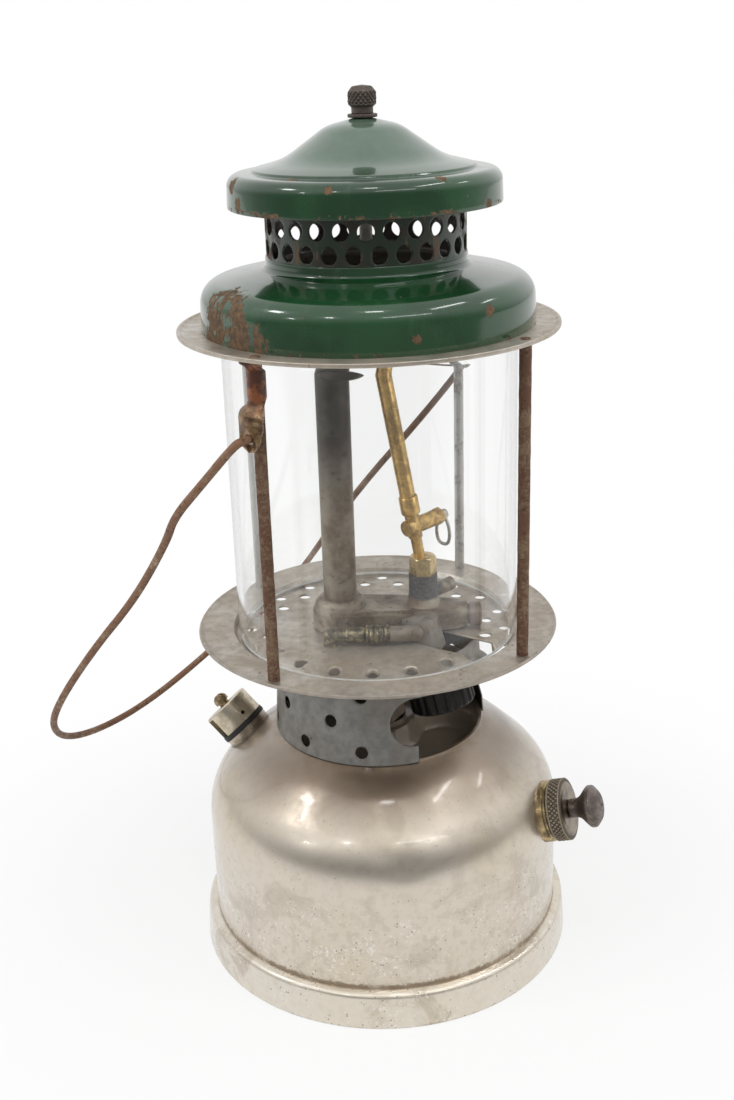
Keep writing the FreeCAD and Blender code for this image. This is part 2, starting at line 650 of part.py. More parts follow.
def fuel_pickup_tube():
    tube = pipe(PICKUP_RADIUS, PICKUP_BORE, PICKUP_BOTTOM, COLUMN_FOOT)
    nut = pipe(PICKUP_NUT_RADIUS, PICKUP_BORE, COLUMN_FOOT - PICKUP_NUT_HEIGHT, COLUMN_FOOT)
    return union([tube, nut])


def pickup_strainer():
    """Small cup with slits at the foot of the pickup tube."""
    r = PICKUP_RADIUS + 1.2
    cup = pipe(r, PICKUP_RADIUS, PICKUP_BOTTOM - 0.2, PICKUP_BOTTOM + 9)
    slit = Part.makeBox(3.0, 0.7, 6.0, V(PICKUP_RADIUS - 0.5, -0.35, PICKUP_BOTTOM + 1))
    return cup.cut(union(around(slit, 6)))


def valve_frame(shape, spin=0.0):
    return placed(shape, WHEEL_SEAT, VALVE_AXIS, spin)


def valve_length(height):
    """Distance along the valve axis from the wheel's lower face up to a height."""
    return (height - WHEEL_SEAT.z) / math.cos(math.radians(VALVE_TILT))


def valve_bonnet():
    """Boss under the casting that guides the valve's stem."""
    a = WHEEL_HEIGHT + WHEEL_GAP
    b = a + BONNET_LENGTH
    bonnet = turned([(0, a), (BONNET_RADIUS - 1.6, a), (BONNET_RADIUS, a + 1.4), (BONNET_RADIUS, b),
                     (0, b)])
    bore = [cylinder(STEM_RADIUS + STEM_PLAY, a - 1, needle_foot() + 0.4),
            cylinder(NEEDLE_RADIUS + STEM_PLAY, a, needle_foot() + NEEDLE_LENGTH + 0.2)]
    bonnet = valve_frame(bonnet.cut(union(bore)))
    above = Part.makeBox(200, 200, 40, V(-100, -100, CASTING_TOP - BONNET_SUNK))
    return bonnet.cut(above).cut(casting_block())


def valve_wheel():
    """Deep fluted wheel that is turned by the finger tips."""
    r, h = WHEEL_RADIUS, WHEEL_HEIGHT
    body = turned([(0, 3.0), (r - 3.5, 3.0), (r - 2.6, 0.0), (r - 1.0, 0.0), (r, 1.0), (r, h - 3.0),
                   ((r - 0.9, h - 0.9), (r - 3.0, h)), (0, h)])
    flute = cylinder(WHEEL_FLUTE_RADIUS, -1, h + 1, r + WHEEL_FLUTE_RADIUS * 0.45)
    body = body.cut(union(around(flute, WHEEL_FLUTES)))
    return valve_frame(body.cut(cylinder(STEM_RADIUS, -1, h + 1)))


def needle_foot():
    """Distance along the valve axis to the foot of the shut needle."""
    return valve_length(CASTING_TOP) - 5.0


def valve_stem():
    """Stem fixed in the wheel by the slotted screw head under it."""
    stem = cylinder(STEM_RADIUS, 1.9, needle_foot() - NEEDLE_TRAVEL - SEAT_GAP)
    head = turned([(0, 1.0), (2.0, 1.0), (3.6, 2.0), (3.6, 3.0), (0, 3.0)])
    slot = Part.makeBox(8, 0.8, 0.9, V(-4, -0.4, 0.5))
    return valve_frame(union([stem, head]).cut(slot))


def valve_needle():
    """Pointed tip that the stem draws off the valve's seat."""
    foot, r = needle_foot(), NEEDLE_RADIUS
    tip = turned([(0, foot), (r, foot), (r, foot + 0.5 * NEEDLE_LENGTH), (0, foot + NEEDLE_LENGTH)])
    return valve_frame(tip)


# ---------------------------------------------------------------- collar
def collar_wall(offset):
    """Outer radii of the tapered collar, drawn in by an offset."""
    top = PLATE_SEAT - PLATE_SHEET
    bottom = cone_height(COLLAR_BOTTOM_RADIUS - COLLAR_WALL)
    return turned([(0, bottom), (COLLAR_BOTTOM_RADIUS - offset, bottom),
                   (COLLAR_TOP_RADIUS - offset, top), (0, top)])


def collar():
    """Perforated collar between the fount and the plate, open at the wheel."""
    wall = collar_wall(0).cut(collar_wall(COLLAR_WALL))
    reach = 60
    holes = []
    count = int((360 - 2 * CUTOUT_SPREAD - 30) / COLLAR_HOLE_STEP)
    for row, height in enumerate(COLLAR_ROWS):
        drill = rod(COLLAR_HOLE, (20, 0, height), (reach, 0, height))
        shift = 0 if row % 2 == 0 else -COLLAR_HOLE_STEP / 2
        holes += around(drill, count, COLLAR_HOLE_PHASE + shift, -COLLAR_HOLE_STEP)
    wall = wall.cut(union(holes))
    ends = [rod(CUTOUT_RADIUS, polar(20, a, CUTOUT_HEIGHT), polar(reach, a, CUTOUT_HEIGHT))
            for a in (VALVE_AZIMUTH - CUTOUT_SPREAD, VALVE_AZIMUTH + CUTOUT_SPREAD)]
    window = Part.Face(Part.makePolygon([
        V(0, 0, 0), polar(reach, VALVE_AZIMUTH - CUTOUT_EDGE), polar(reach * 1.3, VALVE_AZIMUTH),
        polar(reach, VALVE_AZIMUTH + CUTOUT_EDGE), V(0, 0, 0)]))
    window = window.extrude(V(0, 0, CUTOUT_HEIGHT + CUTOUT_RADIUS))
    return wall.cut(union(ends)).cut(window).cut(fount_body(0, FOUNT_FLOOR))


# ---------------------------------------------------------------- frame
def frame_plate():
    """Perforated plate that carries the globe, with a dished seat and a wide flange."""
    t, r = PLATE_SHEET, DISH_RADIUS
    sheet = turned([(0, PLATE_SEAT - t), (r + t, PLATE_SEAT - t), (r + t, PLATE_FLANGE - t),
                    (PLATE_RADIUS - 0.6, PLATE_FLANGE - t), (PLATE_RADIUS, PLATE_FLANGE - t - 0.3),
                    (PLATE_RADIUS, PLATE_FLANGE - 0.3), (PLATE_RADIUS - 0.3, PLATE_FLANGE),
                    (r, PLATE_FLANGE), (r, PLATE_SEAT), (0, PLATE_SEAT)])
    step = 360.0 / PLATE_HOLES
    holes = []
    for ring, radius in enumerate(PLATE_HOLE_RINGS):
        drill = cylinder(PLATE_HOLE, PLATE_SEAT - 3, PLATE_SEAT + 3, radius)
        holes += around(drill, PLATE_HOLES, PLATE_HOLE_PHASE + ring * step / 2)
    sheet = sheet.cut(union(holes))
    slot = Part.makeBox(r - 1.5 - SLOT_START, SLOT_WIDTH, 6,
                        V(SLOT_START, -SLOT_WIDTH / 2, PLATE_SEAT - 3))
    slot.rotate(V(0, 0, 0), UP, VALVE_AZIMUTH)
    tenons = [Part.makeCylinder(TENON_RADIUS, 10, polar(POST_CIRCLE, a, PLATE_FLANGE - 5), UP)
              for a in POST_AZIMUTHS.values()]
    feed = [cylinder(FEED_RADIUS + 0.6, PLATE_SEAT - 3, PLATE_SEAT + 3, FEED_X, FEED_Y),
            cylinder(FEED_RADIUS + 0.6, PLATE_SEAT - 3, PLATE_SEAT + 3, ELBOW_X, LINE_Y)]
    screws = [cylinder(SCREW_RADIUS, PLATE_SEAT - 3, PLATE_SEAT + 3, x, y) for x, y in SCREW_PLACES]
    middle = cylinder(COLUMN_RADIUS, PLATE_SEAT - 3, PLATE_SEAT + 3)
    return sheet.cut(union([slot] + tenons + feed + screws + [middle]))


def frame_post(azimuth):
    """Upright with a tenon at each end, headed over under the plate and above the ring."""
    low, high = PLATE_FLANGE, RING_UNDERSIDE
    t = RIVET_HEAD_HEIGHT
    under = PLATE_FLANGE - PLATE_SHEET
    post = turned([(0, under - t), (RIVET_HEAD_RADIUS - 0.8, under - t),
                   (RIVET_HEAD_RADIUS, under), (TENON_RADIUS, under), (TENON_RADIUS, low),
                   (POST_RADIUS, low), (POST_RADIUS, high), (TENON_RADIUS, high),
                   (TENON_RADIUS, RING_TOP), (POST_RADIUS - 0.2, RING_TOP),
                   (POST_RADIUS - 0.8, RING_TOP + 0.4), (0, RING_TOP + 0.4)])
    post.translate(polar(POST_CIRCLE, azimuth))
    return post


def top_ring():
    """Flat ring that ties the posts; the globe lifts out through it."""
    bore = DISH_RADIUS
    ring = turned([(bore, RING_UNDERSIDE), (RING_RADIUS - 0.4, RING_UNDERSIDE),
                   (RING_RADIUS, RING_UNDERSIDE + 0.3), (RING_RADIUS, RING_TOP - 0.3),
                   (RING_RADIUS - 0.4, RING_TOP), (bore, RING_TOP)])
    tenons = [Part.makeCylinder(TENON_RADIUS, 10, polar(POST_CIRCLE, a, RING_TOP - 5), UP)
              for a in POST_AZIMUTHS.values()]
    return ring.cut(union(tenons))


def bail_ear():
    """Bent strip at azimuth 0: tab under the ring, wrap round the post, and holed lobe."""
    t = EAR_SHEET
    face = EAR_RADIUS - t
    hug = POST_CIRCLE + POST_RADIUS + 0.05
    foot, lobe = HINGE_HEIGHT - EAR_FOOT, HINGE_HEIGHT + EAR_LOBE
    jog = lobe + EAR_JOG
    side = [(hug, RING_UNDERSIDE), (RING_RADIUS - 0.6, RING_UNDERSIDE),
            (RING_RADIUS - 0.6, RING_UNDERSIDE - t), (hug + t, RING_UNDERSIDE - t - 1.4),
            (hug + t, jog), (EAR_RADIUS, lobe), (EAR_RADIUS, foot), (face, foot),
            (face, lobe - 0.5), (hug, jog - 0.5)]
    half = EAR_WIDTH
    points = [V(r, -half, z) for r, z in side + [side[0]]]
    strip = Part.Face(Part.makePolygon(points)).extrude(V(0, 2 * half, 0))
    w, n = EAR_WIDTH / 2, EAR_WAIST / 2
    top = RING_UNDERSIDE + 1
    tab = RING_UNDERSIDE - EAR_TAB
    right = [V(60, w - 0.7, top), V(60, w - 0.7, tab), V(60, n, tab - 3.0), V(60, n, lobe + 5.0),
             V(60, w, lobe), V(60, w, HINGE_HEIGHT + 0.2)]
    left = [V(p.x, -p.y, p.z) for p in reversed(right)]
    edges = [Part.makeLine(a, b) for a, b in zip(right, right[1:])]
    edges.append(Part.Arc(right[-1], V(60, 0, foot), left[0]).toShape())
    edges += [Part.makeLine(a, b) for a, b in zip(left, left[1:] + right[:1])]
    outline = Part.Face(Part.Wire(edges)).extrude(V(20, 0, 0))
    strip = strip.common(outline)
    wrap_top = RING_UNDERSIDE - 5.0
    wrap = pipe(POST_RADIUS + 0.05 + 0.9, POST_RADIUS + 0.05, wrap_top - EAR_WRAP, wrap_top,
                POST_CIRCLE)
    keep = Part.makeBox(4.0, 10, EAR_WRAP + 2, V(POST_CIRCLE - 0.6, -5, wrap_top - EAR_WRAP - 1))
    ear = union([strip, wrap.common(keep)])
    hole = rod(BAIL_WIRE + BAIL_HOLE_PLAY, (66, 0, HINGE_HEIGHT), (90, 0, HINGE_HEIGHT))
    return ear.cut(hole)


def bail_ear_at(azimuth):
    ear = bail_ear()
    ear.rotate(V(0, 0, 0), UP, azimuth)
    return ear


def bail():
    """Bent wire handle, standing off the plumb line by its lean."""
    corners = [(-BAIL_END, 0.0)] + list(BAIL_CORNERS) + [(BAIL_END, 0.0)]
    lean = math.radians(BAIL_LEAN)
    hinge = polar(-1, BAIL_AZIMUTH)
    side = polar(1, BAIL_AZIMUTH - 90)
    down = side * math.sin(lean) - UP * math.cos(lean)
    points = [tuple(hinge * u + down * v + V(0, 0, HINGE_HEIGHT)) for u, v in corners]
    return swept_rod(points, BAIL_WIRE, 0.42)


# ---------------------------------------------------------------- globe
def globe():
    r, w = GLOBE_RADIUS, GLOBE_WALL
    a, b = GLOBE_BOTTOM, GLOBE_BOTTOM + GLOBE_HEIGHT
    e = 0.9
    return turned([(r - w + e, a), (r - e, a), ((r - 0.27, a + 0.27), (r, a + e)), (r, b - e),
                   ((r - 0.27, b - 0.27), (r - e, b)), (r - w + e, b),
                   ((r - w + 0.27, b - 0.27), (r - w, b - e)), (r - w, a + e),
                   ((r - w + 0.27, a + 0.27), (r - w + e, a))])


# ---------------------------------------------------------------- hood
def hood_dome():
    """Pressed dome that stands on the ring and carries the neck."""
    s, base, r = HOOD_SHEET, HOOD_BOTTOM, DOME_RADIUS
    side, top = base + DOME_SIDE, base + DOME_HEIGHT
    neck = NECK_RADIUS - s
    collar_top = NECK_BOTTOM + 3.0

    def skin(g):
        """Outline of the dome's skin, drawn in by g."""
        return [(r - g, base), (r - g - 0.3, side),
                ((r - 2.6 - g * 0.8, side + 5.4 - g * 0.7), (r - 9.0 - g * 0.3, top - 1.6 - g)),
                ((r - 17.0, top + 0.4 - g), (neck + 2.4 - g * 0.3, NECK_BOTTOM - 1.2 - g)),
                ((neck + 0.7 - g, NECK_BOTTOM - 0.8 - g * 0.5), (neck - g, NECK_BOTTOM)),
                (neck - g, collar_top)]
    outer, inner = skin(0), skin(s)
    back = [inner[5], inner[4][1], (inner[4][0], inner[3][1]), (inner[3][0], inner[2][1]),
            (inner[2][0], inner[1]), inner[0]]
    return turned(outer + back)


def hood_neck():
    """Perforated band between the dome and the hat."""
    top = hat_inside_height()
    band = pipe(NECK_RADIUS, NECK_RADIUS - HOOD_SHEET, NECK_BOTTOM, top)
    holes = []
    for row, height in enumerate(NECK_ROWS):
        drill = rod(NECK_HOLE, (20, 0, NECK_BOTTOM + height), (60, 0, NECK_BOTTOM + height))
        holes += around(drill, NECK_HOLES, row * 180.0 / NECK_HOLES)
    return band.cut(union(holes))


HAT_STEP_RADIUS = 41.5
HAT_SHOULDER = HAT_RIM + 8.0


def hat_inside_height():
    """Height of the flat underside where the neck meets the hat."""
    return HAT_RIM + 12.4 - HOOD_SHEET


def hood_hat():
    """Hat with an upright skirt, a stepped brim and a bell-shaped cone."""
    s = HOOD_SHEET
    rim, r = HAT_RIM, HAT_RADIUS
    outer = [(r, rim), (r - 0.5, HAT_SHOULDER), ((r - 2.0, HAT_SHOULDER + 3.2), (r - 6.0, rim + 11.6)),
             (HAT_STEP_RADIUS + 0.9, rim + 12.0), ((HAT_STEP_RADIUS + 0.2, rim + 12.5),
                                                   (HAT_STEP_RADIUS - 0.6, rim + 13.3)),
             ((28.0, rim + 18.0), (18.5, rim + 24.0)), ((12.0, rim + 27.8), (5.6, HAT_TOP)),
             (HAT_BORE, HAT_TOP)]
    inner = [(HAT_BORE, HAT_TOP - s), (5.2, HAT_TOP - s), ((11.6, rim + 27.0), (17.9, rim + 23.2)),
             ((27.4, rim + 17.2), (36.2, hat_inside_height())),
             (NECK_RADIUS + 0.4, hat_inside_height()),
             (r - 6.2, rim + 11.6 - s + 0.1), ((r - 2.7, HAT_SHOULDER + 2.6), (r - 0.5 - s, HAT_SHOULDER)),
             (r - s, rim)]
    return turned(outer + inner)


def nut_washer():
    return pipe(WASHER_RADIUS, NUT_BORE + 0.3, HAT_TOP, HAT_TOP + WASHER_THICK)


def ball_nut():
    """Knurled ball nut that holds the hood down."""
    a = HAT_TOP + WASHER_THICK
    r, n = NUT_RADIUS, NUT_NECK
    body = turned([(0, a), (n, a), (n, a + 1.9), ((r - 0.3, a + 3.4), (r, a + 5.2)),
                   ((r - 0.5, a + 8.2), (r - 2.0, a + 9.6)), (0, a + 10.0)])
    return body.cut(cylinder(NUT_BORE, a - 1, STUD_TOP + SEAT_GAP))


# ---------------------------------------------------------------- burner
def disc_hull(discs, bottom, top):
    """Upright body whose outline runs round several discs (x, y, radius) in a row."""
    parts = []
    for x, y, r in discs:
        parts.append(cylinder(r, bottom, top, x, y))
    for (x1, y1, r1), (x2, y2, r2) in zip(discs, discs[1:]):
        a = math.atan2(y2 - y1, x2 - x1)
        gap = math.hypot(x2 - x1, y2 - y1)
        swing = math.acos((r1 - r2) / gap)
        corners = []
        for x, y, r, t in ((x1, y1, r1, a + swing), (x2, y2, r2, a + swing),
                           (x2, y2, r2, a - swing), (x1, y1, r1, a - swing)):
            corners.append(V(x + r * math.cos(t), y + r * math.sin(t), bottom))
        face = Part.Face(Part.makePolygon(corners + corners[:1]))
        parts.append(face.extrude(V(0, 0, top - bottom)))
    return union(parts)


CASTING_DISCS = ((TUBE_X, 0.0, 11.5), (8.0, -1.2, 9.8), (21.0, -2.2, 8.6), (31.0, -3.2, 6.0))


def casting_block():
    """Outside of the mixing casting, with its foot, riser and nose."""
    block = disc_hull(CASTING_DISCS, CASTING_BOTTOM, CASTING_TOP - 1.6)
    crown = disc_hull([(x, y, r - 1.4) for x, y, r in CASTING_DISCS], CASTING_BOTTOM, CASTING_TOP)
    foot = turned([(0, CASTING_TOP - 2), (11.0, CASTING_TOP - 2), (10.2, TUBE_FOOT - 1.4),
                   (8.6, TUBE_FOOT), (0, TUBE_FOOT)])
    foot.translate(V(TUBE_X, 0, 0))
    riser = turned([(0, CASTING_TOP - 2), (9.0, CASTING_TOP - 2),
                    ((6.9, CASTING_TOP + 1.0), (RISER_RADIUS, CASTING_TOP + 5.5)),
                    (RISER_RADIUS, RISER_TOP), (0, RISER_TOP)])
    riser.translate(V(RISER_X, RISER_Y, 0))
    nose = rod(NOSE_RADIUS, NOSE_FACE - NOSE_AXIS * 18.0, NOSE_FACE)
    intake = rod(AIR_RADIUS, AIR_START, AIR_END)
    return union([block, crown, foot, riser, nose, intake])


def burner_casting():
    """Mixing casting: gas enters at the riser, air at the side, mixture leaves at the foot."""
    venturi = rod(PLUG_RADIUS, (TUBE_X, 0, NOZZLE_Z), NOSE_FACE + NOSE_AXIS)
    mixture = cylinder(TUBE_BORE, NOZZLE_Z, TUBE_FOOT + 5, TUBE_X)
    riser_bore = cylinder(2.2, NOZZLE_Z, RISER_TOP + 5, RISER_X, RISER_Y)
    tube_seat = cylinder(TUBE_RADIUS, TUBE_FOOT - 3, TUBE_FOOT + 5, TUBE_X)
    jet_seat = cylinder(3.1, RISER_TOP - 7, RISER_TOP + 5, RISER_X, RISER_Y)
    reach = AIR_END + (AIR_END - AIR_START) * 0.2
    air = rod(AIR_RADIUS - 1.0, AIR_START, reach)
    screws = [cylinder(SCREW_RADIUS, CASTING_BOTTOM - 1, CASTING_BOTTOM + 5, x, y)
              for x, y in SCREW_PLACES]
    body = casting_block().cut(union([venturi, mixture, riser_bore, tube_seat, jet_seat]))
    body = body.cut(air).cut(union(screws))
    stem = cylinder(STEM_RADIUS + STEM_PLAY, -5, needle_foot() + NEEDLE_LENGTH + 0.2)
    return body.cut(valve_frame(stem))


def casting_screws():
    """Screws that hold the casting on the plate, from below."""
    screws = []
    for x, y in SCREW_PLACES:
        shank = cylinder(SCREW_RADIUS, PLATE_SEAT - PLATE_SHEET, CASTING_BOTTOM + 4, x, y)
        head = cylinder(3.0, PLATE_SEAT - PLATE_SHEET - 2.0, PLATE_SEAT - PLATE_SHEET, x, y)
        spacer = pipe(2.4, SCREW_RADIUS, PLATE_SEAT, CASTING_BOTTOM, x, y)
        screws.append(union([shank, head, spacer]))
    return Part.makeCompound(screws)


def cleanout_plug():
    """Screwed plug that closes the nose of the casting."""
    r = PLUG_RADIUS
    body = turned([(0, -3.0), (r, -3.0), (r, 0), (r + 0.9, 0), (r + 0.9, 1.1), (r + 1.6, 1.1),
                   (r + 1.6, PLUG_HEAD - 0.8), (r + 0.8, PLUG_HEAD), (0, PLUG_HEAD)])
    return placed(body, NOSE_FACE, NOSE_AXIS)


def mixing_tube():
    return pipe(TUBE_RADIUS, TUBE_BORE, TUBE_FOOT - 3, CHAMBER_BOTTOM + 3.0, TUBE_X)


def burner_manifold():
    """Hollow head that spreads the mixture to the two burner caps."""
    r, bottom = CHAMBER_RADIUS, CHAMBER_BOTTOM
    chamber = turned([(0, bottom), (r - 3.0, bottom), ((r - 0.9, bottom + 0.9), (r, bottom + 3.0)),
                      (r, ARM_HEIGHT - 2), (r - 3, ARM_HEIGHT + 2), (0, ARM_HEIGHT + 4)])
    chamber.translate(V(CHAMBER_X, 0, 0))
    arms = rod(ARM_RADIUS, (ARM_X, -ARM_REACH, ARM_HEIGHT), (ARM_X, ARM_REACH, ARM_HEIGHT))
    boss = cylinder(5.2, ARM_HEIGHT, ARM_HEIGHT + ARM_RADIUS + 2.5)
    drops = [cylinder(CAP_PIN_BORE, CAP_BOTTOM + 4, ARM_HEIGHT, ARM_X, side * CAP_Y)
             for side in (-1, 1)]
    reach = ARM_REACH + 5.0
    under = Part.makeBox(40, reach, 40, V(ARM_X - 20, CAP_Y - CAP_RADIUS, CAP_BOTTOM + CAP_HEIGHT - 40))
    arms = arms.cut(under)
    arms = arms.cut(under.mirror(V(0, 0, 0), V(0, 1, 0)))
    body = union([chamber, arms, boss] + drops)
    inside = turned([(0, bottom + 3.0), (r - 1.6, bottom + 3.0), (r - 1.6, ARM_HEIGHT), (0, ARM_HEIGHT)])
    inside.translate(V(CHAMBER_X, 0, 0))
    bore = rod(ARM_RADIUS - 1.6, (ARM_X, -ARM_REACH + 2, ARM_HEIGHT), (ARM_X, ARM_REACH - 2, ARM_HEIGHT))
    seats = [cylinder(CAP_PIN_BORE - 1.6, CAP_BOTTOM + 3, ARM_HEIGHT, ARM_X, side * CAP_Y)
             for side in (-1, 1)]
    tube_seat = cylinder(TUBE_RADIUS, bottom - 1, bottom + 3.0, TUBE_X)
    stud_seat = cylinder(STUD_RADIUS, ARM_HEIGHT + ARM_RADIUS - 1.0, ARM_HEIGHT + 20)
    return body.cut(union([inside, bore] + seats)).cut(tube_seat).cut(stud_seat)


def burner_cap(side):
    """Grooved cap that the neck of a mantle is tied round, with a pierced end."""
    r, b = CAP_RADIUS, CAP_BOTTOM
    body = turned([(0, b), (r - 1.0, b), (r, b + 1.0), (r, b + 2.2), (r - 0.9, b + 2.8),
                   (r - 0.9, b + 4.0), (r, b + 4.6), (r, b + CAP_HEIGHT), (0, b + CAP_HEIGHT)])
    cap = body.cut(cylinder(CAP_PIN_BORE, b + 4, b + 10)).cut(cylinder(5.0, b + 1.4, b + 5))
    jets = union(around(cylinder(0.6, b - 1, b + 2, 3.4), 8) + [cylinder(0.6, b - 1, b + 2)])
    cap = cap.cut(jets)
    cap.translate(V(ARM_X, side * CAP_Y, 0))
    return cap


def centre_stud():
    return turned([(0, ARM_HEIGHT + ARM_RADIUS - 1.0), (STUD_RADIUS, ARM_HEIGHT + ARM_RADIUS - 1.0),
                   (STUD_RADIUS, STUD_TOP - 0.5), (STUD_RADIUS - 0.5, STUD_TOP), (0, STUD_TOP)])


# ---------------------------------------------------------------- vaporiser line
def vaporiser_tube():
    """Fuel tube: under the plate, up behind the mixing tube and over to the generator."""
    low = PLATE_SEAT - UNDER_RUN
    x, y, z = GENERATOR_TOP
    top = z + 1.0
    route = [(ELBOW_X, LINE_Y, PLATE_SEAT), (ELBOW_X, LINE_Y, low), (FEED_X, FEED_Y, low),
             (FEED_X, FEED_Y, top), (x, FEED_Y, top), (x, y + HEAD_PORT, top)]
    return swept_rod(route, FEED_RADIUS, 0.45, 2.6 * FEED_RADIUS)


def generator_head():
    """Block at the top of the generator, which the vaporiser tube enters from behind."""
    x, y, z = GENERATOR_TOP
    block = turned([(0, z - 3.2), (3.9, z - 3.2), (4.2, z - 2.6), (4.2, z + 4.0), (3.0, z + 5.0),
                    (0, z + 5.0)])
    block.translate(V(x, y, 0))
    port = rod(FEED_RADIUS + 0.9, (x, y, z + 1.0), (x, y + HEAD_PORT + 2.4, z + 1.0))
    tube = rod(GENERATOR_RADIUS, along_generator(HEX_HEIGHT), V(*GENERATOR_TOP))
    side = rod(FEED_RADIUS, (x, y + HEAD_PORT, z + 1.0), (x, y + 9.0, z + 1.0))
    return union([block, port]).cut(tube).cut(side)


def generator_tube():
    """Slanted vaporiser tube from the head down to the cleaner block."""
    start = along_generator(BLOCK_DISTANCE + BLOCK_RADIUS + 2.0)
    tube = rod(GENERATOR_RADIUS, start, V(*GENERATOR_TOP))
    return tube.cut(rod(GENERATOR_BORE, start - GENERATOR_AXIS * 2, V(*GENERATOR_TOP) - UP * 3))


def generator_sleeve():
    """Packing sleeve round the lower end of the generator."""
    sleeve = turned([(0, SLEEVE_START), (3.6, SLEEVE_START), (3.9, SLEEVE_START + 0.6),
                     (3.9, SLEEVE_END - 0.6), (3.6, SLEEVE_END), (0, SLEEVE_END)])
    sleeve = sleeve.cut(cylinder(GENERATOR_RADIUS, SLEEVE_START - 1, SLEEVE_END + 1))
    return placed(sleeve, RISER_POINT, GENERATOR_AXIS)


def cleaner_block():
    """Cross block on the generator, bored for the spindle, with the thin tube below it."""
    front = BLOCK_CENTRE - BLOCK_AXIS * BLOCK_FRONT
    back = BLOCK_CENTRE + BLOCK_AXIS * BLOCK_REACH
    barrel = rod(BLOCK_RADIUS, front, back)
    stem = rod(2.9, along_generator(BLOCK_DISTANCE - 4.6),
               along_generator(BLOCK_DISTANCE + BLOCK_RADIUS + 2.0))
    lower = rod(LOWER_TUBE_RADIUS, along_generator(1.6), along_generator(BLOCK_DISTANCE))
    spindle = rod(SPINDLE_RADIUS + 0.1, BLOCK_CENTRE - BLOCK_AXIS * 2.6, back + BLOCK_AXIS)
    passage = rod(0.9, along_generator(0), along_generator(BLOCK_DISTANCE + 12))
    return union([barrel, stem, lower]).cut(spindle).cut(passage)


def cleaner_gland_nut():
    """Hexagonal gland nut where the spindle leaves the block."""
    start = BLOCK_CENTRE + BLOCK_AXIS * BLOCK_REACH
    nut = hexagon(6.4, GLAND_HEIGHT).cut(cylinder(SPINDLE_RADIUS + 0.1, -1, GLAND_HEIGHT + 1))
    return placed(nut, start, BLOCK_AXIS, 30)


def cleaner_lever():
    """Spindle with a wire loop for a finger tip."""
    face = BLOCK_REACH + GLAND_HEIGHT
    spindle = rod(SPINDLE_RADIUS, BLOCK_CENTRE - BLOCK_AXIS * 2.0,
                  BLOCK_CENTRE + BLOCK_AXIS * (face + LOOP_HUB_LENGTH))
    hub = rod(LOOP_HUB_RADIUS, BLOCK_CENTRE + BLOCK_AXIS * (face + SEAT_GAP),
              BLOCK_CENTRE + BLOCK_AXIS * (face + LOOP_HUB_LENGTH))
    across = BLOCK_AXIS.cross(UP).normalize()
    down = BLOCK_AXIS.cross(across).normalize()
    start = BLOCK_CENTRE + BLOCK_AXIS * (face + (SEAT_GAP + LOOP_HUB_LENGTH) / 2)
    half = LOOP_WIDTH / 2 - LOOP_WIRE
    side = [(LOOP_WIRE * 1.3, 0.0), (half * 0.8, 0.3 * LOOP_DROP), (half, 0.64 * LOOP_DROP),
            (half * 0.66, LOOP_DROP)]
    route = side + [(-u, v) for u, v in reversed(side)]
    loop = swept_rod([tuple(start + across * u + down * v) for u, v in route], LOOP_WIRE)
    return union([spindle, hub, loop])


def cleaning_needle():
    """Fine wire that the eccentric pushes through the jet."""
    return rod(0.35, along_generator(-5.0), along_generator(BLOCK_DISTANCE - 2.2))


def coupling_nut():
    """Hexagonal nut that clamps the generator on the riser."""
    nut = hexagon(HEX_ACROSS, HEX_HEIGHT)
    chamfer = turned([(0, 0), (HEX_ACROSS * 0.55, 0), (HEX_ACROSS * 0.58, 0.5),
                      (HEX_ACROSS * 0.58, HEX_HEIGHT - 0.8), (HEX_ACROSS * 0.5, HEX_HEIGHT),
                      (0, HEX_HEIGHT)])
    nut = nut.common(chamfer)
    nut.translate(RISER_POINT)
    clear = rod(LOWER_TUBE_RADIUS, along_generator(-3.0), along_generator(14.0))
    return nut.cut(clear).cut(gas_tip())


def gas_tip():
    """Jet with the fine hole that meters the vapour."""
    tip = turned([(0, RISER_TOP - 7), (1.8, RISER_TOP - 7), (3.1, RISER_TOP - 5.5),
                  (3.1, RISER_TOP + 1.0), (0, RISER_TOP + 1.0)])
    tip.translate(V(RISER_X, RISER_Y, 0))
    return tip.cut(rod(0.55, along_generator(-9), along_generator(3)))


# ---------------------------------------------------------------- short fuel line
def line_piece(outline):
    """A piece turned about the short fuel line, which runs along X."""
    return placed(turned(outline), V(0, LINE_Y, LINE_Z), V(1, 0, 0))


def valve_spigot():
    """Outlet branch from the valve to the fuel line."""
    end = VALVE_SPIGOT_X + 10.5
    branch = line_piece([(0, VALVE_SPIGOT_X), (LINE_RADIUS, VALVE_SPIGOT_X), (LINE_RADIUS, end),
                         (0, end)])
    corner = Part.makeSphere(LINE_RADIUS, V(end, LINE_Y, LINE_Z))
    back = rod(LINE_RADIUS, (end, LINE_Y, LINE_Z), (end, -6.0, LINE_Z))
    bore = valve_frame(cylinder(BONNET_RADIUS, 0, valve_length(CASTING_TOP + 20)))
    return union([branch, corner, back]).cut(casting_block()).cut(bore)


def line_packing_nut():
    """Ridged brass nut of the fuel line."""
    start, pitch, crest = VALVE_SPIGOT_X - PACKING_LENGTH, 2.0, LINE_RADIUS + 0.6
    outline = [(0, start), (LINE_RADIUS - 0.4, start)]
    for k in range(int(PACKING_LENGTH / pitch)):
        x = start + k * pitch
        outline += [(crest, x + 0.4), (crest, x + 1.2), (LINE_RADIUS, x + 1.5)]
    outline += [(LINE_RADIUS, VALVE_SPIGOT_X), (0, VALVE_SPIGOT_X)]
    return line_piece(outline)


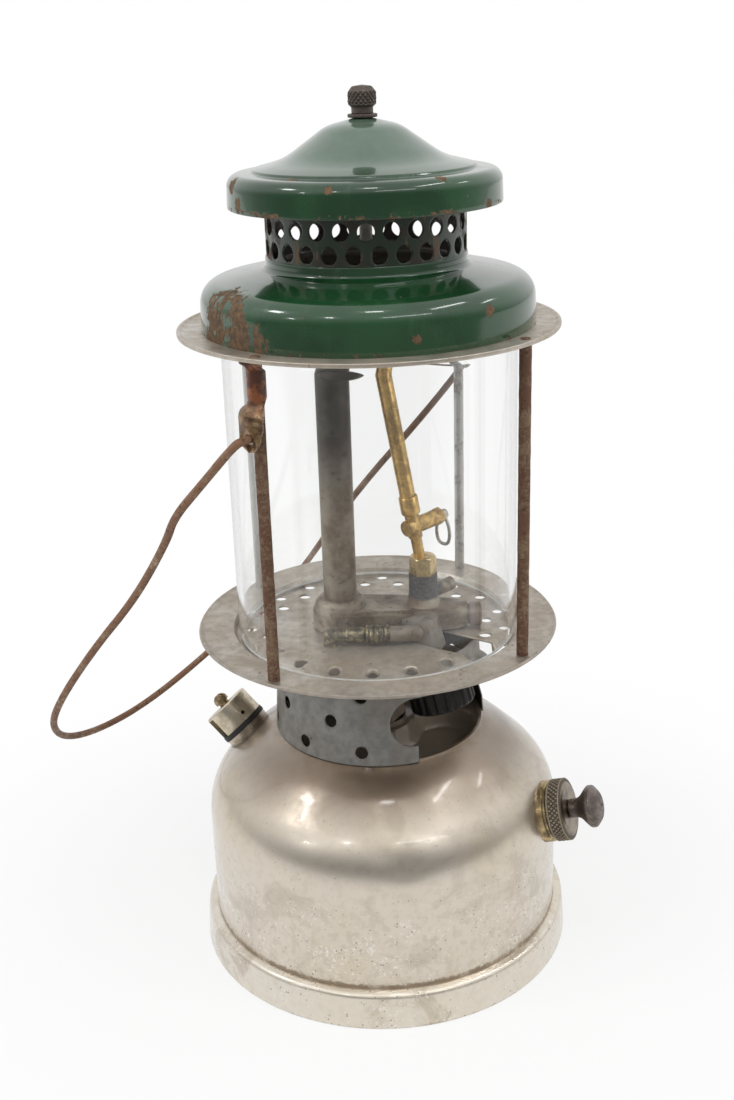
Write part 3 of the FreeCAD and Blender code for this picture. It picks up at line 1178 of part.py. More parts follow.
def line_elbow():
    """Union and elbow that turn the fuel line down through the plate."""
    near = VALVE_SPIGOT_X - PACKING_LENGTH
    joint = line_piece([(0, near - 8.0), (2.6, near - 8.0), (LINE_RADIUS, near - 7.2),
                        (LINE_RADIUS, near - 1.0), (2.6, near), (0, near)])
    across = rod(2.8, (ELBOW_X, LINE_Y, LINE_Z), (near - 4.0, LINE_Y, LINE_Z))
    down = cylinder(2.8, PLATE_SEAT, LINE_Z, ELBOW_X, LINE_Y)
    corner = Part.makeSphere(2.8, V(ELBOW_X, LINE_Y, LINE_Z))
    return union([joint, across, down, corner])


# ---------------------------------------------------------------- writing
def pieces():
    """Every piece by its node name."""
    made = {
        "fount_shell": fount_shell(), "fount_bottom": fount_bottom(), "foot_band": foot_band(),
        "filler_bung": filler_bung(), "filler_gasket": filler_gasket(), "filler_cap": filler_cap(),
        "filler_vent_screw": filler_vent_screw(),
        "pump_bung": pump_bung(), "pump_barrel": pump_barrel(),
        "pump_check_valve": pump_check_valve(), "pump_cap": pump_cap(), "pump_rod": pump_rod(),
        "pump_knob": pump_knob(), "pump_leather": pump_leather(),
        "pump_leather_washer": pump_leather_washer(),
        "valve_bung": valve_bung(), "fuel_column": fuel_column(),
        "fuel_pickup_tube": fuel_pickup_tube(), "pickup_strainer": pickup_strainer(),
        "valve_bonnet": valve_bonnet(), "valve_wheel": valve_wheel(), "valve_stem": valve_stem(),
        "valve_needle": valve_needle(),
        "collar": collar(), "frame_plate": frame_plate(), "top_ring": top_ring(),
        "bail_ear_front": bail_ear_at(BAIL_AZIMUTH),
        "bail_ear_back": bail_ear_at(BAIL_AZIMUTH + 180), "bail": bail(), "globe": globe(),
        "hood_dome": hood_dome(), "hood_neck": hood_neck(), "hood_hat": hood_hat(),
        "nut_washer": nut_washer(), "ball_nut": ball_nut(),
        "burner_casting": burner_casting(), "casting_screws": casting_screws(),
        "cleanout_plug": cleanout_plug(), "valve_spigot": valve_spigot(),
        "line_packing_nut": line_packing_nut(), "line_elbow": line_elbow(),
        "mixing_tube": mixing_tube(), "burner_manifold": burner_manifold(),
        "burner_cap_front": burner_cap(-1), "burner_cap_back": burner_cap(1),
        "centre_stud": centre_stud(), "vaporiser_tube": vaporiser_tube(),
        "generator_head": generator_head(), "generator_tube": generator_tube(),
        "generator_sleeve": generator_sleeve(), "cleaner_block": cleaner_block(),
        "cleaner_gland_nut": cleaner_gland_nut(), "cleaner_lever": cleaner_lever(),
        "cleaning_needle": cleaning_needle(),
        "coupling_nut": coupling_nut(), "gas_tip": gas_tip(),
    }
    for name, azimuth in POST_AZIMUTHS.items():
        made["post_" + name] = frame_post(azimuth)
    return made


os.makedirs("parts", exist_ok=True)
for node, shape in pieces().items():
    shape.exportStep("parts/" + node + ".step")
    box = shape.BoundBox
    print("%-20s solids %d  valid %s  volume %9.1f  z %.1f to %.1f"
          % (node, len(shape.Solids), shape.isValid(), shape.Volume, box.ZMin, box.ZMax))
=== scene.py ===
# %% [markdown]
# # A kerosene pressure lantern
# The lantern has a nickelled brass fount on a rolled foot, a perforated collar, a frame of four
# posts, a straight glass globe and a hood of green enamel.  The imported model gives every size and
# place.  Here each visible surface gets its real skin: sheet metal with rolled edges and a few
# dents, knurling, bent wire, and finishes that change over the surface as old ones do.

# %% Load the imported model
import json
import math

import bpy
import bmesh
import numpy as np
from mathutils import Matrix, Vector

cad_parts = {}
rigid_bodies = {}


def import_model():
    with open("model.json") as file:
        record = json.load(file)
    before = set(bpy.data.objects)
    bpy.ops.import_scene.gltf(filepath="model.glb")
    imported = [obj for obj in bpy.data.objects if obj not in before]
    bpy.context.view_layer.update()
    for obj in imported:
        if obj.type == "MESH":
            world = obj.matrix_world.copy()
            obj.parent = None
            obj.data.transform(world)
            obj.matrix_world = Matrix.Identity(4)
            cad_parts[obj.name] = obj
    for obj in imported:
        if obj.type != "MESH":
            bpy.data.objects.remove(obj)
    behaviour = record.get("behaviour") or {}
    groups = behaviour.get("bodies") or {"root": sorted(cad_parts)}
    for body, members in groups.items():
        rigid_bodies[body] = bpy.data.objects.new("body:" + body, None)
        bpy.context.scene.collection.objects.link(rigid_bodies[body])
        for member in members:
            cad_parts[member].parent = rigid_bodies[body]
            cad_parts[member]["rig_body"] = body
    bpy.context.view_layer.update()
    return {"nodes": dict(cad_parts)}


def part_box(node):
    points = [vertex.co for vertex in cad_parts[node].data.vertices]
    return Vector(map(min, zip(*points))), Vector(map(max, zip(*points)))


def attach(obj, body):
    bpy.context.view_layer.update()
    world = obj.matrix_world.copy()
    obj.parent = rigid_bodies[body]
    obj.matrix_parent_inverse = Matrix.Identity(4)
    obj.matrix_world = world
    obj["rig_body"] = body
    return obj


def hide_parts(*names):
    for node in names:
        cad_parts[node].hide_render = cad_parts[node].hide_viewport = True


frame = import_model()
MM = 0.001


# %% [markdown]
# ## Reading sizes from the model
# A piece that is round about the lantern's axis is known by its radius and its two heights, and a
# post by the middle of its box.  Both are read from the model and not typed, so each skin stays on
# its node.

# %% Sizes of nodes
def extent(node):
    """(radius, lowest, highest) in millimetres of a node that is round about the lantern's axis."""
    low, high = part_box(node)
    return (high[0] - low[0]) / 2 / MM, low[2] / MM, high[2] / MM


def middle(node):
    """Middle of a node's box in millimetres."""
    low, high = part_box(node)
    return np.array(low + high) / 2 / MM


FOUNT_R, FOUNT_LOW, FOUNT_HIGH = extent("fount_shell")
FOOT_R, _, FOOT_HIGH = extent("foot_band")
COLLAR_R, COLLAR_LOW, COLLAR_HIGH = extent("collar")
PLATE_R, PLATE_LOW, PLATE_HIGH = extent("frame_plate")
RING_R, RING_LOW, RING_HIGH = extent("top_ring")
GLOBE_R, GLOBE_LOW, GLOBE_HIGH = extent("globe")
DOME_R, DOME_LOW, _ = extent("hood_dome")
NECK_R, NECK_LOW, NECK_HIGH = extent("hood_neck")
HAT_R, HAT_LOW, HAT_HIGH = extent("hood_hat")
print("fount %.1f, foot %.1f, globe %.2f mm in radius" % (FOUNT_R, FOOT_R, GLOBE_R))


# %% [markdown]
# ## From a grid of points to a mesh
# Every skin is a function of two parameters.  It is worked out on a grid as one array, and four
# neighbouring points of the grid make one face.  A long loop over vertices would be slow and hard
# to read, so all the sums are done on whole arrays.  Points that fall together at a pole or a seam
# are merged, which closes the skin.

# %% Grid to mesh
def grid_faces(nu, nv, wrap_v=False):
    """Indices of the four corners of each face; the first parameter always runs round."""
    index = np.arange(nu * nv).reshape(nu, nv)
    ahead = np.roll(index, -1, axis=0)
    if wrap_v:
        return np.stack([index, ahead, np.roll(ahead, -1, 1), np.roll(index, -1, 1)], -1)
    return np.stack([index[:, :-1], ahead[:, :-1], ahead[:, 1:], index[:, 1:]], -1)


MERGE = 2e-6


def piece(name, node, points, faces=None, wall=0.0, wrap_v=False):
    """A mesh in millimetres put in place of a CAD node, riding on that node's body.

    Without a list of faces the whole grid is used, and the skin is closed: its normals are turned
    outwards.  A punched grid is built with them outwards, and gets a wall that grows inwards."""
    closed = faces is None
    if closed:
        faces = grid_faces(*points.shape[:2], wrap_v).reshape(-1, 4).tolist()
    mesh = bpy.data.meshes.new(name)
    mesh.from_pydata((points.reshape(-1, 3) * MM).tolist(), [], faces)
    work = bmesh.new()
    work.from_mesh(mesh)
    bmesh.ops.remove_doubles(work, verts=work.verts, dist=MERGE)
    bmesh.ops.dissolve_degenerate(work, edges=work.edges, dist=MERGE / 2)
    bmesh.ops.delete(work, geom=[v for v in work.verts if not v.link_faces], context="VERTS")
    if closed:
        bmesh.ops.recalc_face_normals(work, faces=work.faces)
    work.to_mesh(mesh)
    work.free()
    return put(name, mesh, node, wall)


SKIN_OF, SHARP = {}, math.radians(38)


def put(name, mesh, node, wall=0.0):
    """Links a mesh to the scene, smooth, on the node's body and in the node's place."""
    mesh.shade_smooth()
    mesh.set_sharp_from_angle(angle=SHARP)
    obj = bpy.data.objects.new(name, mesh)
    bpy.context.scene.collection.objects.link(obj)
    if wall:
        solidify = obj.modifiers.new("wall", "SOLIDIFY")
        solidify.thickness, solidify.offset = wall * MM, -1
        solidify.use_even_offset = True
    cad = frame["nodes"][node]
    SKIN_OF[node] = name
    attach(obj, cad["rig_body"])
    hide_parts(node)
    print("%-18s %6d faces" % (name, len(mesh.polygons)))
    return obj


# %% [markdown]
# ## Profiles of sheet metal
# A spun or pressed piece is a profile turned about an axis.  The profile is a row of corners, each
# with the radius of its bend, as a sheet-metal worker would draw it.  Real sheet has a thickness
# and worn edges, so the profile is offset by the thickness and closed by a half circle at each end.

# %% Rounded profiles
def run(a, b, step):
    """Evenly spaced points after a, up to and with b."""
    count = max(1, round(float(np.linalg.norm(b - a)) / step))
    return a + (b - a) * np.linspace(0, 1, count + 1)[1:, None]


def profile(*corners, step=1.5, bend_step=9):
    """Points along straight runs whose corners (r, z, bend radius) are rounded by tangent arcs."""
    spots = [np.array(c[:2], float) for c in corners]
    bends = [c[2] if len(c) > 2 else 0.0 for c in corners]
    rows, last = [spots[0][None]], spots[0]
    for before, corner, after, bend in zip(spots, spots[1:], spots[2:], bends[1:]):
        a, b = before - corner, after - corner
        la, lb = np.linalg.norm(a), np.linalg.norm(b)
        a, b = a / la, b / lb
        swing = math.pi - math.acos(np.clip(a @ b, -1, 1))
        tangent = min(bend * math.tan(swing / 2), 0.49 * la, 0.49 * lb)
        if tangent < 1e-6:
            rows.append(run(last, corner, step))
            last = corner
            continue
        radius = tangent / math.tan(swing / 2)
        centre = corner + (a + b) / np.linalg.norm(a + b) * radius / math.cos(swing / 2)
        start, end = corner + a * tangent, corner + b * tangent
        rows.append(run(last, start, step))
        count = max(3, int(math.degrees(swing) / bend_step), int(swing * radius / step))
        t = np.linspace(0, 1, count + 1)[1:, None]
        arc = np.sin((1 - t) * swing) * (start - centre) + np.sin(t * swing) * (end - centre)
        rows.append(centre + arc / math.sin(swing))
        last = end
    rows.append(run(last, spots[-1], step))
    return np.concatenate(rows)


def sheet(path, thick, edge=3):
    """Closed outline of a sheet whose outer face follows the path.

    The inner face is the path minus the thickness times its side vector, and each cut edge is a
    half circle between the two."""
    along = np.gradient(path, axis=0)
    along /= np.linalg.norm(along, axis=1, keepdims=True)
    side = np.stack([along[:, 1], -along[:, 0]], axis=1)
    inner = path - side * thick
    t = np.linspace(0, math.pi, edge + 2)[1:-1, None]
    caps = []
    for end, out in ((-1, side[-1]), (0, -side[0])):
        ahead = np.array([-out[1], out[0]])
        caps.append((path[end] + inner[end] + (np.cos(t) * out + np.sin(t) * ahead) * thick) / 2)
    return np.concatenate([path, caps[0], inner[::-1], caps[1]])


def turn(outline, around=256):
    """Grid of a profile (r, z) turned about the Z axis: r cos a, r sin a, z."""
    a = np.linspace(0, 2 * math.pi, around, endpoint=False)[:, None]
    r, z = outline[None, :, 0], outline[None, :, 1]
    return np.stack([r * np.cos(a), r * np.sin(a), z + 0 * a], axis=-1)


# %% [markdown]
# ## Wobble and dents
# Thin sheet that was spun, dropped and carried for decades is never quite true.  A slow ripple of
# a few tenths of a millimetre bends the reflections, and a dent pushes the skin in where it was hit.
# Both move points of the grid before it becomes a mesh.

# %% Wobble and dents
def angle_from(points, azimuth=0.0):
    """Angle of points about the Z axis, measured from an azimuth, between -pi and pi."""
    a = np.arctan2(points[..., 1], points[..., 0]) - math.radians(azimuth)
    return (a + math.pi) % (2 * math.pi) - math.pi


def wobble(points, amount, seed):
    """Moves points away from the Z axis by a sum of slow sine waves round it and up it."""
    draw = np.random.default_rng(seed)
    azimuth = angle_from(points)
    shift = 0
    for k in range(2, 7):
        phase, climb = draw.uniform(0, 2 * math.pi), draw.uniform(-0.07, 0.07)
        shift = shift + np.sin(k * azimuth + climb * points[..., 2] + phase) / k
    radius = np.maximum(np.linalg.norm(points[..., :2], axis=-1, keepdims=True), 1e-6)
    out = np.concatenate([points[..., :2] / radius, 0 * radius], axis=-1)
    return points + out * (amount * shift)[..., None]


def dent(points, place, push, size):
    """Moves points by the push vector times a bell curve of their distance from a place."""
    far = np.sum(((points - np.array(place)) / np.array(size)) ** 2, axis=-1)
    return points + np.exp(-far)[..., None] * np.array(push)


# %% [markdown]
# ## Holes in sheet metal
# The collar, the plate and the hood's neck are full of punched holes.  A boolean would leave long
# thin faces that spoil the shading.  Instead the grid itself is fitted to the holes: a signed
# distance says how far each point is from the nearest edge, the points next to an edge are moved
# onto it, and the faces inside are dropped.  Each hole then has a clean round edge.

# %% Punched holes
def slope(field, points, tiny=0.01):
    """Gradient of a distance field, by small steps along X, Y and Z."""
    steps = np.eye(3) * tiny
    return np.stack([field(points + s) - field(points - s) for s in steps], -1) / (2 * tiny)


def punched(points, field):
    """(points, faces) of an open grid without the places where the field is negative."""
    far = field(points)
    near = np.zeros(far.shape, bool)
    for axis in (0, 1):
        other = np.roll(far, -1, axis)
        crosses = far * other < 0
        if axis == 1:
            crosses[:, -1] = False
        mine = np.abs(far) <= np.abs(other)
        near |= crosses & mine
        near |= np.roll(crosses & ~mine, 1, axis)
    moved = points.copy()
    for _ in range(2):
        push = field(moved)[..., None] * slope(field, moved)
        moved = np.where(near[..., None], moved - push, moved)
    sign = np.where(near, 0, np.sign(far)).astype(int)
    faces = grid_faces(*far.shape)
    corner = sign.reshape(-1)[faces]
    centre = field(moved.reshape(-1, 3)[faces].mean(axis=-2))
    whole = (corner.min(-1) >= 0) & ((corner.max(-1) > 0) | (centre > 0))
    kept = faces[whole].tolist()
    mixed = (corner.min(-1) < 0) & (corner.max(-1) > 0)
    loops, signs = faces[mixed], corner[mixed]
    for k in range(4):
        lone = signs[:, k] > 0
        kept += loops[lone][:, [(k - 1) % 4, k, (k + 1) % 4]].tolist()
    return moved, kept


def drills(*holes):
    """Distance to the nearest of several round holes (origin, axis, radius)."""
    def field(points):
        least = 1e9
        for origin, axis, radius in holes:
            away = points - np.array(origin)
            depth = away @ np.array(axis)
            across = np.linalg.norm(away - depth[..., None] * np.array(axis), axis=-1)
            least = np.minimum(least, np.where(depth > -4, across - radius, 1e3))
        return least
    return field


# %% [markdown]
# ## Small parts keep their CAD shape
# A screw, a nut or a cast block is already right in the model, apart from its knife-sharp edges.
# A copy of its mesh is merged, flat facets are joined into whole faces, and a small bevel gives the
# worn edge that catches the light.

# %% Dressed copies of nodes
def worn_edge(obj, width, angle):
    """Bevels the edges that are sharper than an angle in degrees."""
    edge = obj.modifiers.new("worn edge", "BEVEL")
    edge.width, edge.segments, edge.limit_method = width * MM, 2, "ANGLE"
    edge.angle_limit = math.radians(angle)
    return edge


def dressed(node, bevel):
    """A merged copy of a node's mesh with worn edges."""
    mesh = frame["nodes"][node].data.copy()
    mesh.name = node + "_skin"
    work = bmesh.new()
    work.from_mesh(mesh)
    bmesh.ops.remove_doubles(work, verts=work.verts, dist=3e-6)
    bmesh.ops.dissolve_limit(work, angle_limit=math.radians(0.5), verts=work.verts,
                             edges=work.edges)
    work.to_mesh(mesh)
    work.free()
    obj = put(node + "_skin", mesh, node)
    if bevel:
        worn_edge(obj, bevel, 30).harden_normals = True


# %% [markdown]
# ## Shader arithmetic
# A finish is mostly arithmetic: noise times a mask, one minus a mask, the larger of two masks.
# The class below wraps a socket so that such sums are written as sums.

# %% Shader arithmetic
class Signal:
    """One output of a node tree.  Arithmetic on it adds Math nodes."""

    def __init__(self, nodes, socket):
        self.nodes, self.socket = nodes, socket

    def math(self, operation, *others):
        return self.nodes.add("Math", {"operation": operation}, dict(enumerate((self,) + others)))

    def __add__(self, other):
        return self.math("ADD", other)

    def __sub__(self, other):
        return self.math("SUBTRACT", other)

    def __mul__(self, other):
        return self.math("MULTIPLY", other)

    def __rsub__(self, other):
        return self.nodes.add("Math", {"operation": "SUBTRACT"}, {0: other, 1: self})

    __radd__, __rmul__ = __add__, __mul__

    def larger(self, other):
        return self.math("MAXIMUM", other)

    def between(self, low, high, start=0.0, end=1.0):
        """Smooth step from start to end as the value goes from low to high."""
        return self.nodes.add("MapRange", {"interpolation_type": "SMOOTHSTEP"},
                              {"Value": self, "From Min": low, "From Max": high,
                               "To Min": start, "To Max": end})


class Nodes:
    """A node tree that is filled by expressions on signals."""

    def __init__(self, owner):
        owner.use_nodes = True
        self.owner, self.tree = owner, owner.node_tree
        self.tree.nodes.clear()

    def add(self, kind, settings=None, sockets=None, output=0):
        """A node of a kind: its settings first, then its sockets' values or links."""
        node = self.tree.nodes.new("ShaderNode" + kind)
        for key, value in (settings or {}).items():
            setattr(node, key, value)
        for key, value in (sockets or {}).items():
            if isinstance(value, Signal):
                self.tree.links.new(value.socket, node.inputs[key])
            else:
                node.inputs[key].default_value = value
        return Signal(self, node.outputs[output]) if node.outputs else None

    def vector(self, operation, *values, output=0):
        """A Vector Math node.  Output 1 is the number that a length or a dot product gives."""
        return self.add("VectorMath", {"operation": operation}, dict(enumerate(values)), output)


# %% [markdown]
# ## A finish
# Every material starts the same way: coordinates of the object in millimetres, so that a size in
# the code is a size on the lantern.  Noise, cells and ragged patches are built on them once, here,
# and each finish below only says how they are mixed.

# %% A finish
class Finish(Nodes):
    """A material that reads Object coordinates, in millimetres."""

    def __init__(self, name, **fixed):
        super().__init__(bpy.data.materials.new(name))
        self.fixed = fixed
        place = self.add("TexCoord", output="Object")
        self.place = self.add("VectorMath", {"operation": "SCALE"}, {0: place, "Scale": 1 / MM})

    def moved(self, seed, stretch=(1, 1, 1)):
        """The coordinates shifted by a seed and squeezed along the axes."""
        return self.add("Mapping", {}, {"Vector": self.place, "Scale": stretch,
                                        "Location": (seed * 37.3, seed * 23.1, seed * 15.7)})

    def noise(self, size, seed=0.0, detail=3.0, rough=0.55, stretch=(1, 1, 1), twist=0.0):
        """Noise from 0 to 1 whose blobs are about size millimetres wide."""
        return self.add("TexNoise", {}, {"Vector": self.moved(seed, stretch), "Scale": 1.0 / size,
                                         "Detail": detail, "Roughness": rough,
                                         "Distortion": twist})

    def cells(self, size, seed):
        """Distance from the nearest of points scattered about size millimetres apart."""
        return self.add("TexVoronoi", {}, {"Vector": self.moved(seed), "Scale": 1.0 / size})

    def axis(self, letter):
        """One coordinate in millimetres."""
        return self.add("SeparateXYZ", {}, {0: self.place}, "XYZ".index(letter))

    def oil_and_shade(self, outer=41.6, inner=40.9, floor=84.0):
        """Mask of what lies inside a radius and above a height: oil there, darkened more as painted
        shade.
        """
        flat = self.vector("MULTIPLY", self.place, (1, 1, 0))
        radius = self.vector("LENGTH", flat, output=1)
        return radius.between(outer, inner) * self.axis("Z").between(floor, floor + 1)

    def lining(self):
        """Mask of faces that look inwards and down, towards the inside of a hood."""
        normal = self.add("TexCoord", output="Normal")
        outward = self.vector("MULTIPLY_ADD", self.place, (1, 1, 0), (0, 0, 30))
        return self.vector("DOT_PRODUCT", normal, outward, output=1).between(5, -5)

    def near(self, middle_point, radius, ragged, seed=0.0):
        """Mask of a ragged patch round a point: 1 inside, 0 outside."""
        away = self.vector("DISTANCE", self.place, tuple(map(float, middle_point)), output=1)
        edge = self.noise(radius * 0.45, seed, 5, 0.7)
        return (away * (1 / radius) + (edge - 0.5) * (ragged * 4)).between(1.04, 0.96)

    def mix(self, factor, a, b):
        """Colour a where the factor is 0 and colour b where it is 1."""
        ends = [x if isinstance(x, Signal) else (*x, 1.0) for x in (a, b)]
        return self.add("Mix", {"data_type": "RGBA"}, {0: factor, 6: ends[0], 7: ends[1]}, 2)

    def bump(self, height, depth, under=None):
        """Bump from a height of 0 to 1 that stands depth millimetres proud."""
        sockets = {"Height": height, "Distance": depth * MM, "Strength": 1.0}
        if under:
            sockets["Normal"] = under
        return self.add("Bump", {}, sockets)

    def done(self, **signals):
        """Links the finished signals to the shader and returns the material."""
        sockets = {**self.fixed, **signals}
        sockets = {name.replace("_", " "): value for name, value in sockets.items()}
        self.add("OutputMaterial", {}, {0: self.add("BsdfPrincipled", {}, sockets)})
        print("finish", self.owner.name, "has", len(self.tree.nodes), "nodes")
        return self.owner


# %% [markdown]
# ## The fount
# The fount is drawn from one brass sheet: an upright side, a big round shoulder, a cone and a beaded
# lip round a sunken crown.  The profile gives all that, turned about the axis.  A finger well is
# then pressed into the crown under the valve's wheel: every point sinks by a smooth step of its
# distance from an arc.  The pump and the filler pass through real holes.

# %% The fount
def direction(azimuth, elevation=0.0):
    """Unit vector from an azimuth and an angle above the horizon, in degrees."""
    a, e = math.radians(azimuth), math.radians(elevation)
    return np.array([math.cos(a) * math.cos(e), math.sin(a) * math.cos(e), math.sin(e)])


def spot(azimuth, radius, height):
    """The point at an azimuth in degrees, a distance from the lantern's axis and a height."""
    return direction(azimuth) * radius + [0, 0, height]


def smooth(value, low, high):
    """Smooth step: 3 t squared less 2 t cubed, with t going from 0 to 1 between low and high."""
    t = np.clip((value - low) / (high - low), 0, 1)
    return t * t * (3 - 2 * t)


FOUNT_WALL, LIP_R, LIP_BORE = 0.75, 43.4, 41.2
SHOULDER_BEND, CONE_FOOT = 28.0, 73.06
WHEEL_AZIMUTH, WELL_SPREAD, WELL_RADIUS = -34.0, 21.0, 27.5
PUMP_SEAT, PUMP_AXIS, PUMP_BORE = spot(-19.9, 72.8, 65.0), direction(-19.9, 16.6), 10.4
FILLER_SEAT, FILLER_AXIS, FILLER_BORE = spot(161, 62.6, 84.4), direction(161, 45), 7.5


def finger_well(points, depth=8.1, half_width=12.4, slope_width=3.4):
    """Sinks points by a smooth step of their distance from the arc in the middle of the well."""
    a = angle_from(points, WHEEL_AZIMUTH)
    spread = math.radians(WELL_SPREAD)
    a = np.clip(a, -spread, spread) + math.radians(WHEEL_AZIMUTH)
    arc = WELL_RADIUS * np.stack([np.cos(a), np.sin(a)], -1)
    far = np.linalg.norm(points[..., :2] - arc, axis=-1)
    well = smooth(far, half_width + slope_width / 2, half_width - slope_width / 2)
    sunk = points.copy()
    sunk[..., 2] -= np.where(points[..., 2] > 90, depth * well, 0)
    return sunk


lip = FOUNT_HIGH - 1.1
fount_line = profile((FOUNT_R, FOUNT_LOW), (FOUNT_R, CONE_FOOT, SHOULDER_BEND),
                     (55.8, lip - 8.6, 60.0), (LIP_R, lip, 0.4),
                     (LIP_R, FOUNT_HIGH, 1.1), (LIP_BORE, FOUNT_HIGH, 1.1),
                     (LIP_BORE, lip - 1.0, 0.6), (0, lip - 1.0), step=1.45, bend_step=4)
fount_points = finger_well(turn(fount_line, 264))
for hit in (((8.0, -68.0, 69.0), (-0.1, 0.7, -0.7), (8.0, 9.0, 7.0)),
            ((-1.0, -66.0, 74.0), (0.1, 0.35, -0.4), (4.0, 6.0, 4.0)),
            ((-48.0, -56.0, 30.0), (0.25, 0.3, 0), (12.0, 12.0, 10.0)),
            ((30.0, 66.0, 40.0), (-0.3, -0.8, 0), (12.0, 9.0, 10.0))):
    fount_points = dent(fount_points, *hit)
fount_points = wobble(fount_points, 0.05, seed=4)
fount_holes = drills((PUMP_SEAT, PUMP_AXIS, PUMP_BORE), (FILLER_SEAT, FILLER_AXIS, FILLER_BORE))
piece("fount_skin", "fount_shell", *punched(fount_points, fount_holes), FOUNT_WALL)

# %% [markdown]
# ## The foot
# The lantern stands on a rolled band.  It is one sheet: turned in at the bottom, upright, and
# rounded over at the top, where it is soldered to the fount.

# %% The foot
foot_line = profile((FOOT_R - 2.2, 0.02), (FOOT_R - 0.02, 0.02, 0.9), (FOOT_R - 0.7, 10.5, 4.0),
                    (FOOT_R - 1.2, FOOT_HIGH - 1.0, 2.6), (FOUNT_R + 0.3, FOOT_HIGH - 0.02),
                    step=0.9, bend_step=8)
foot_points = wobble(turn(sheet(foot_line, 0.85), 256), 0.06, seed=11)
foot_points = dent(foot_points, (-30.0, -73.0, 8.0), (0.2, 0.5, 0), (9.0, 6.0, 6.0))
piece("foot_skin", "foot_band", foot_points, wrap_v=True)

# %% [markdown]
# ## Turned sheets
# The ring, the dome, the hat and the glass are closed profiles turned about the axis.  One function
# makes them all: it rounds the corners, gives the sheet its thickness, turns it, and lets it
# wobble.

# %% Turned sheets
def turned_sheet(name, node, corners, thick, waver, seed, around=256, step=1.5, hits=()):
    """Sheet metal along a row of corners (r, z, bend), turned about the lantern's axis."""
    line = profile(*corners, step=step, bend_step=7)
    points = wobble(turn(sheet(line, thick), around), waver, seed)
    for hit in hits:
        points = dent(points, *hit)
    return piece(name, node, points, wrap_v=True)


RING_BORE, RING_BEAD = 58.4, 0.45
turned_sheet("ring_skin", "top_ring",
             [(RING_R - 0.02, RING_LOW + 0.1), (RING_R - 0.02, RING_HIGH + RING_BEAD, 0.45),
              (RING_R - 1.2, RING_HIGH + RING_BEAD, 0.45), (RING_R - 2.0, RING_HIGH, 0.6),
              (RING_BORE, RING_HIGH)], 0.8, 0.03, 21)

# %% [markdown]
# ## The enamelled hood
# The hood is pressed in two parts.  The dome has an upright side, a round shoulder and a shallow
# cone up to the neck.  The hat has a short skirt, a step and a cone shaped like a bell.  Enamel is
# thick and flows, so every edge is full and round.

# %% The enamelled hood
ENAMELLED = 0.95
DOME_FLAT = DOME_LOW + 20.0
turned_sheet("dome_skin", "hood_dome",
             [(DOME_R - 0.02, DOME_LOW), (DOME_R - 0.5, DOME_LOW + 17.0, 8.5),
              (47.5, DOME_FLAT + 0.5, 26.0), (NECK_R + 0.55, NECK_LOW - 0.3, 4.2),
              (NECK_R + 0.45, NECK_LOW + 3.6)], ENAMELLED, 0.12, 31, 300, 1.2,
             [((-50.0, -38.0, 277.0), (0.5, 0.4, 0), (9.0, 9.0, 6.0))])
turned_sheet("hat_skin", "hood_hat",
             [(HAT_R - 0.02, HAT_LOW), (HAT_R - 0.5, HAT_LOW + 11.6, 4.5),
              (42.0, HAT_LOW + 12.1, 1.4), (41.3, HAT_LOW + 13.1, 0.9),
              (30.0, HAT_LOW + 16.0, 24.0), (13.6, HAT_HIGH - 2.6, 16.0),
              (2.9, HAT_HIGH - 0.02)], ENAMELLED, 0.10, 32, 300, 1.1)

# %% [markdown]
# ## The globe
# The glass is a plain tube with fire-polished ends.  Its wall is a real wall with two faces, because
# light bends at both.

# %% The globe
GLASS_WALL, GLASS_END = 2.4, 1.2
globe = turned_sheet("globe_skin", "globe",
                     [(GLOBE_R - 0.02, GLOBE_LOW + GLASS_END),
                      (GLOBE_R - 0.02, GLOBE_HIGH - GLASS_END)],
                     GLASS_WALL, 0.02, 41, step=4.0)
globe.visible_shadow = False
# Faces at the rounded ends get the pale rim finish: a painted highlight.
centres = np.empty(len(globe.data.polygons) * 3)
globe.data.polygons.foreach_get("center", centres)
centres = centres.reshape(-1, 3) / MM
half_height = (GLOBE_HIGH - GLOBE_LOW) / 2
near_end = np.abs(centres[:, 2] - GLOBE_LOW - half_height) > half_height - 1.1
beside = np.abs(np.hypot(centres[:, 0], centres[:, 1]) - (GLOBE_R - GLASS_WALL / 2)) > 0.8
rim_highlight_faces = (near_end & beside).astype(np.int32)
print("ground edge faces:", int(rim_highlight_faces.sum()))

# %% [markdown]
# ## Perforated sheets
# The neck of the hood, the collar and the plate are open grids, punched as above, and given their
# wall by a Solidify modifier.  The collar also has a wide window for the wheel: a band of the
# sheet between two azimuths, with a round end on each side.

# %% The hood's neck
NECK_HOLES, NECK_ROWS, NECK_BORE = 26, (7.8, 16.1), 3.15


def cylinder_wall(low_r, high_r, low, high, around, rows):
    """Grid of a plain or tapered wall between two heights."""
    z = np.linspace(low, high, rows)
    r = np.linspace(low_r, high_r, rows)
    return turn(np.stack([r, z], -1), around)


neck_holes = [((0, 0, NECK_LOW + rise), direction((k + row / 2) * 360 / NECK_HOLES), NECK_BORE)
              for row, rise in enumerate(NECK_ROWS) for k in range(NECK_HOLES)]
neck_wall = cylinder_wall(NECK_R - 0.02, NECK_R - 0.02, NECK_LOW + 0.1, NECK_HIGH - 0.1, 520, 50)
piece("neck_skin", "hood_neck", *punched(wobble(neck_wall, 0.05, 51), drills(*neck_holes)), 0.8)

# %% The collar
COLLAR_ROWS, COLLAR_PER_ROW, COLLAR_BORE = (105.0, 117.2, 128.8), 7, 2.6
COLLAR_STEP, COLLAR_PHASE, COLLAR_TOP_R = 34.0, -100.3, 41.8
WINDOW_SPREAD, WINDOW_EDGE, WINDOW_HEIGHT, WINDOW_END = 37.4, 36.0, 116.8, 10.2


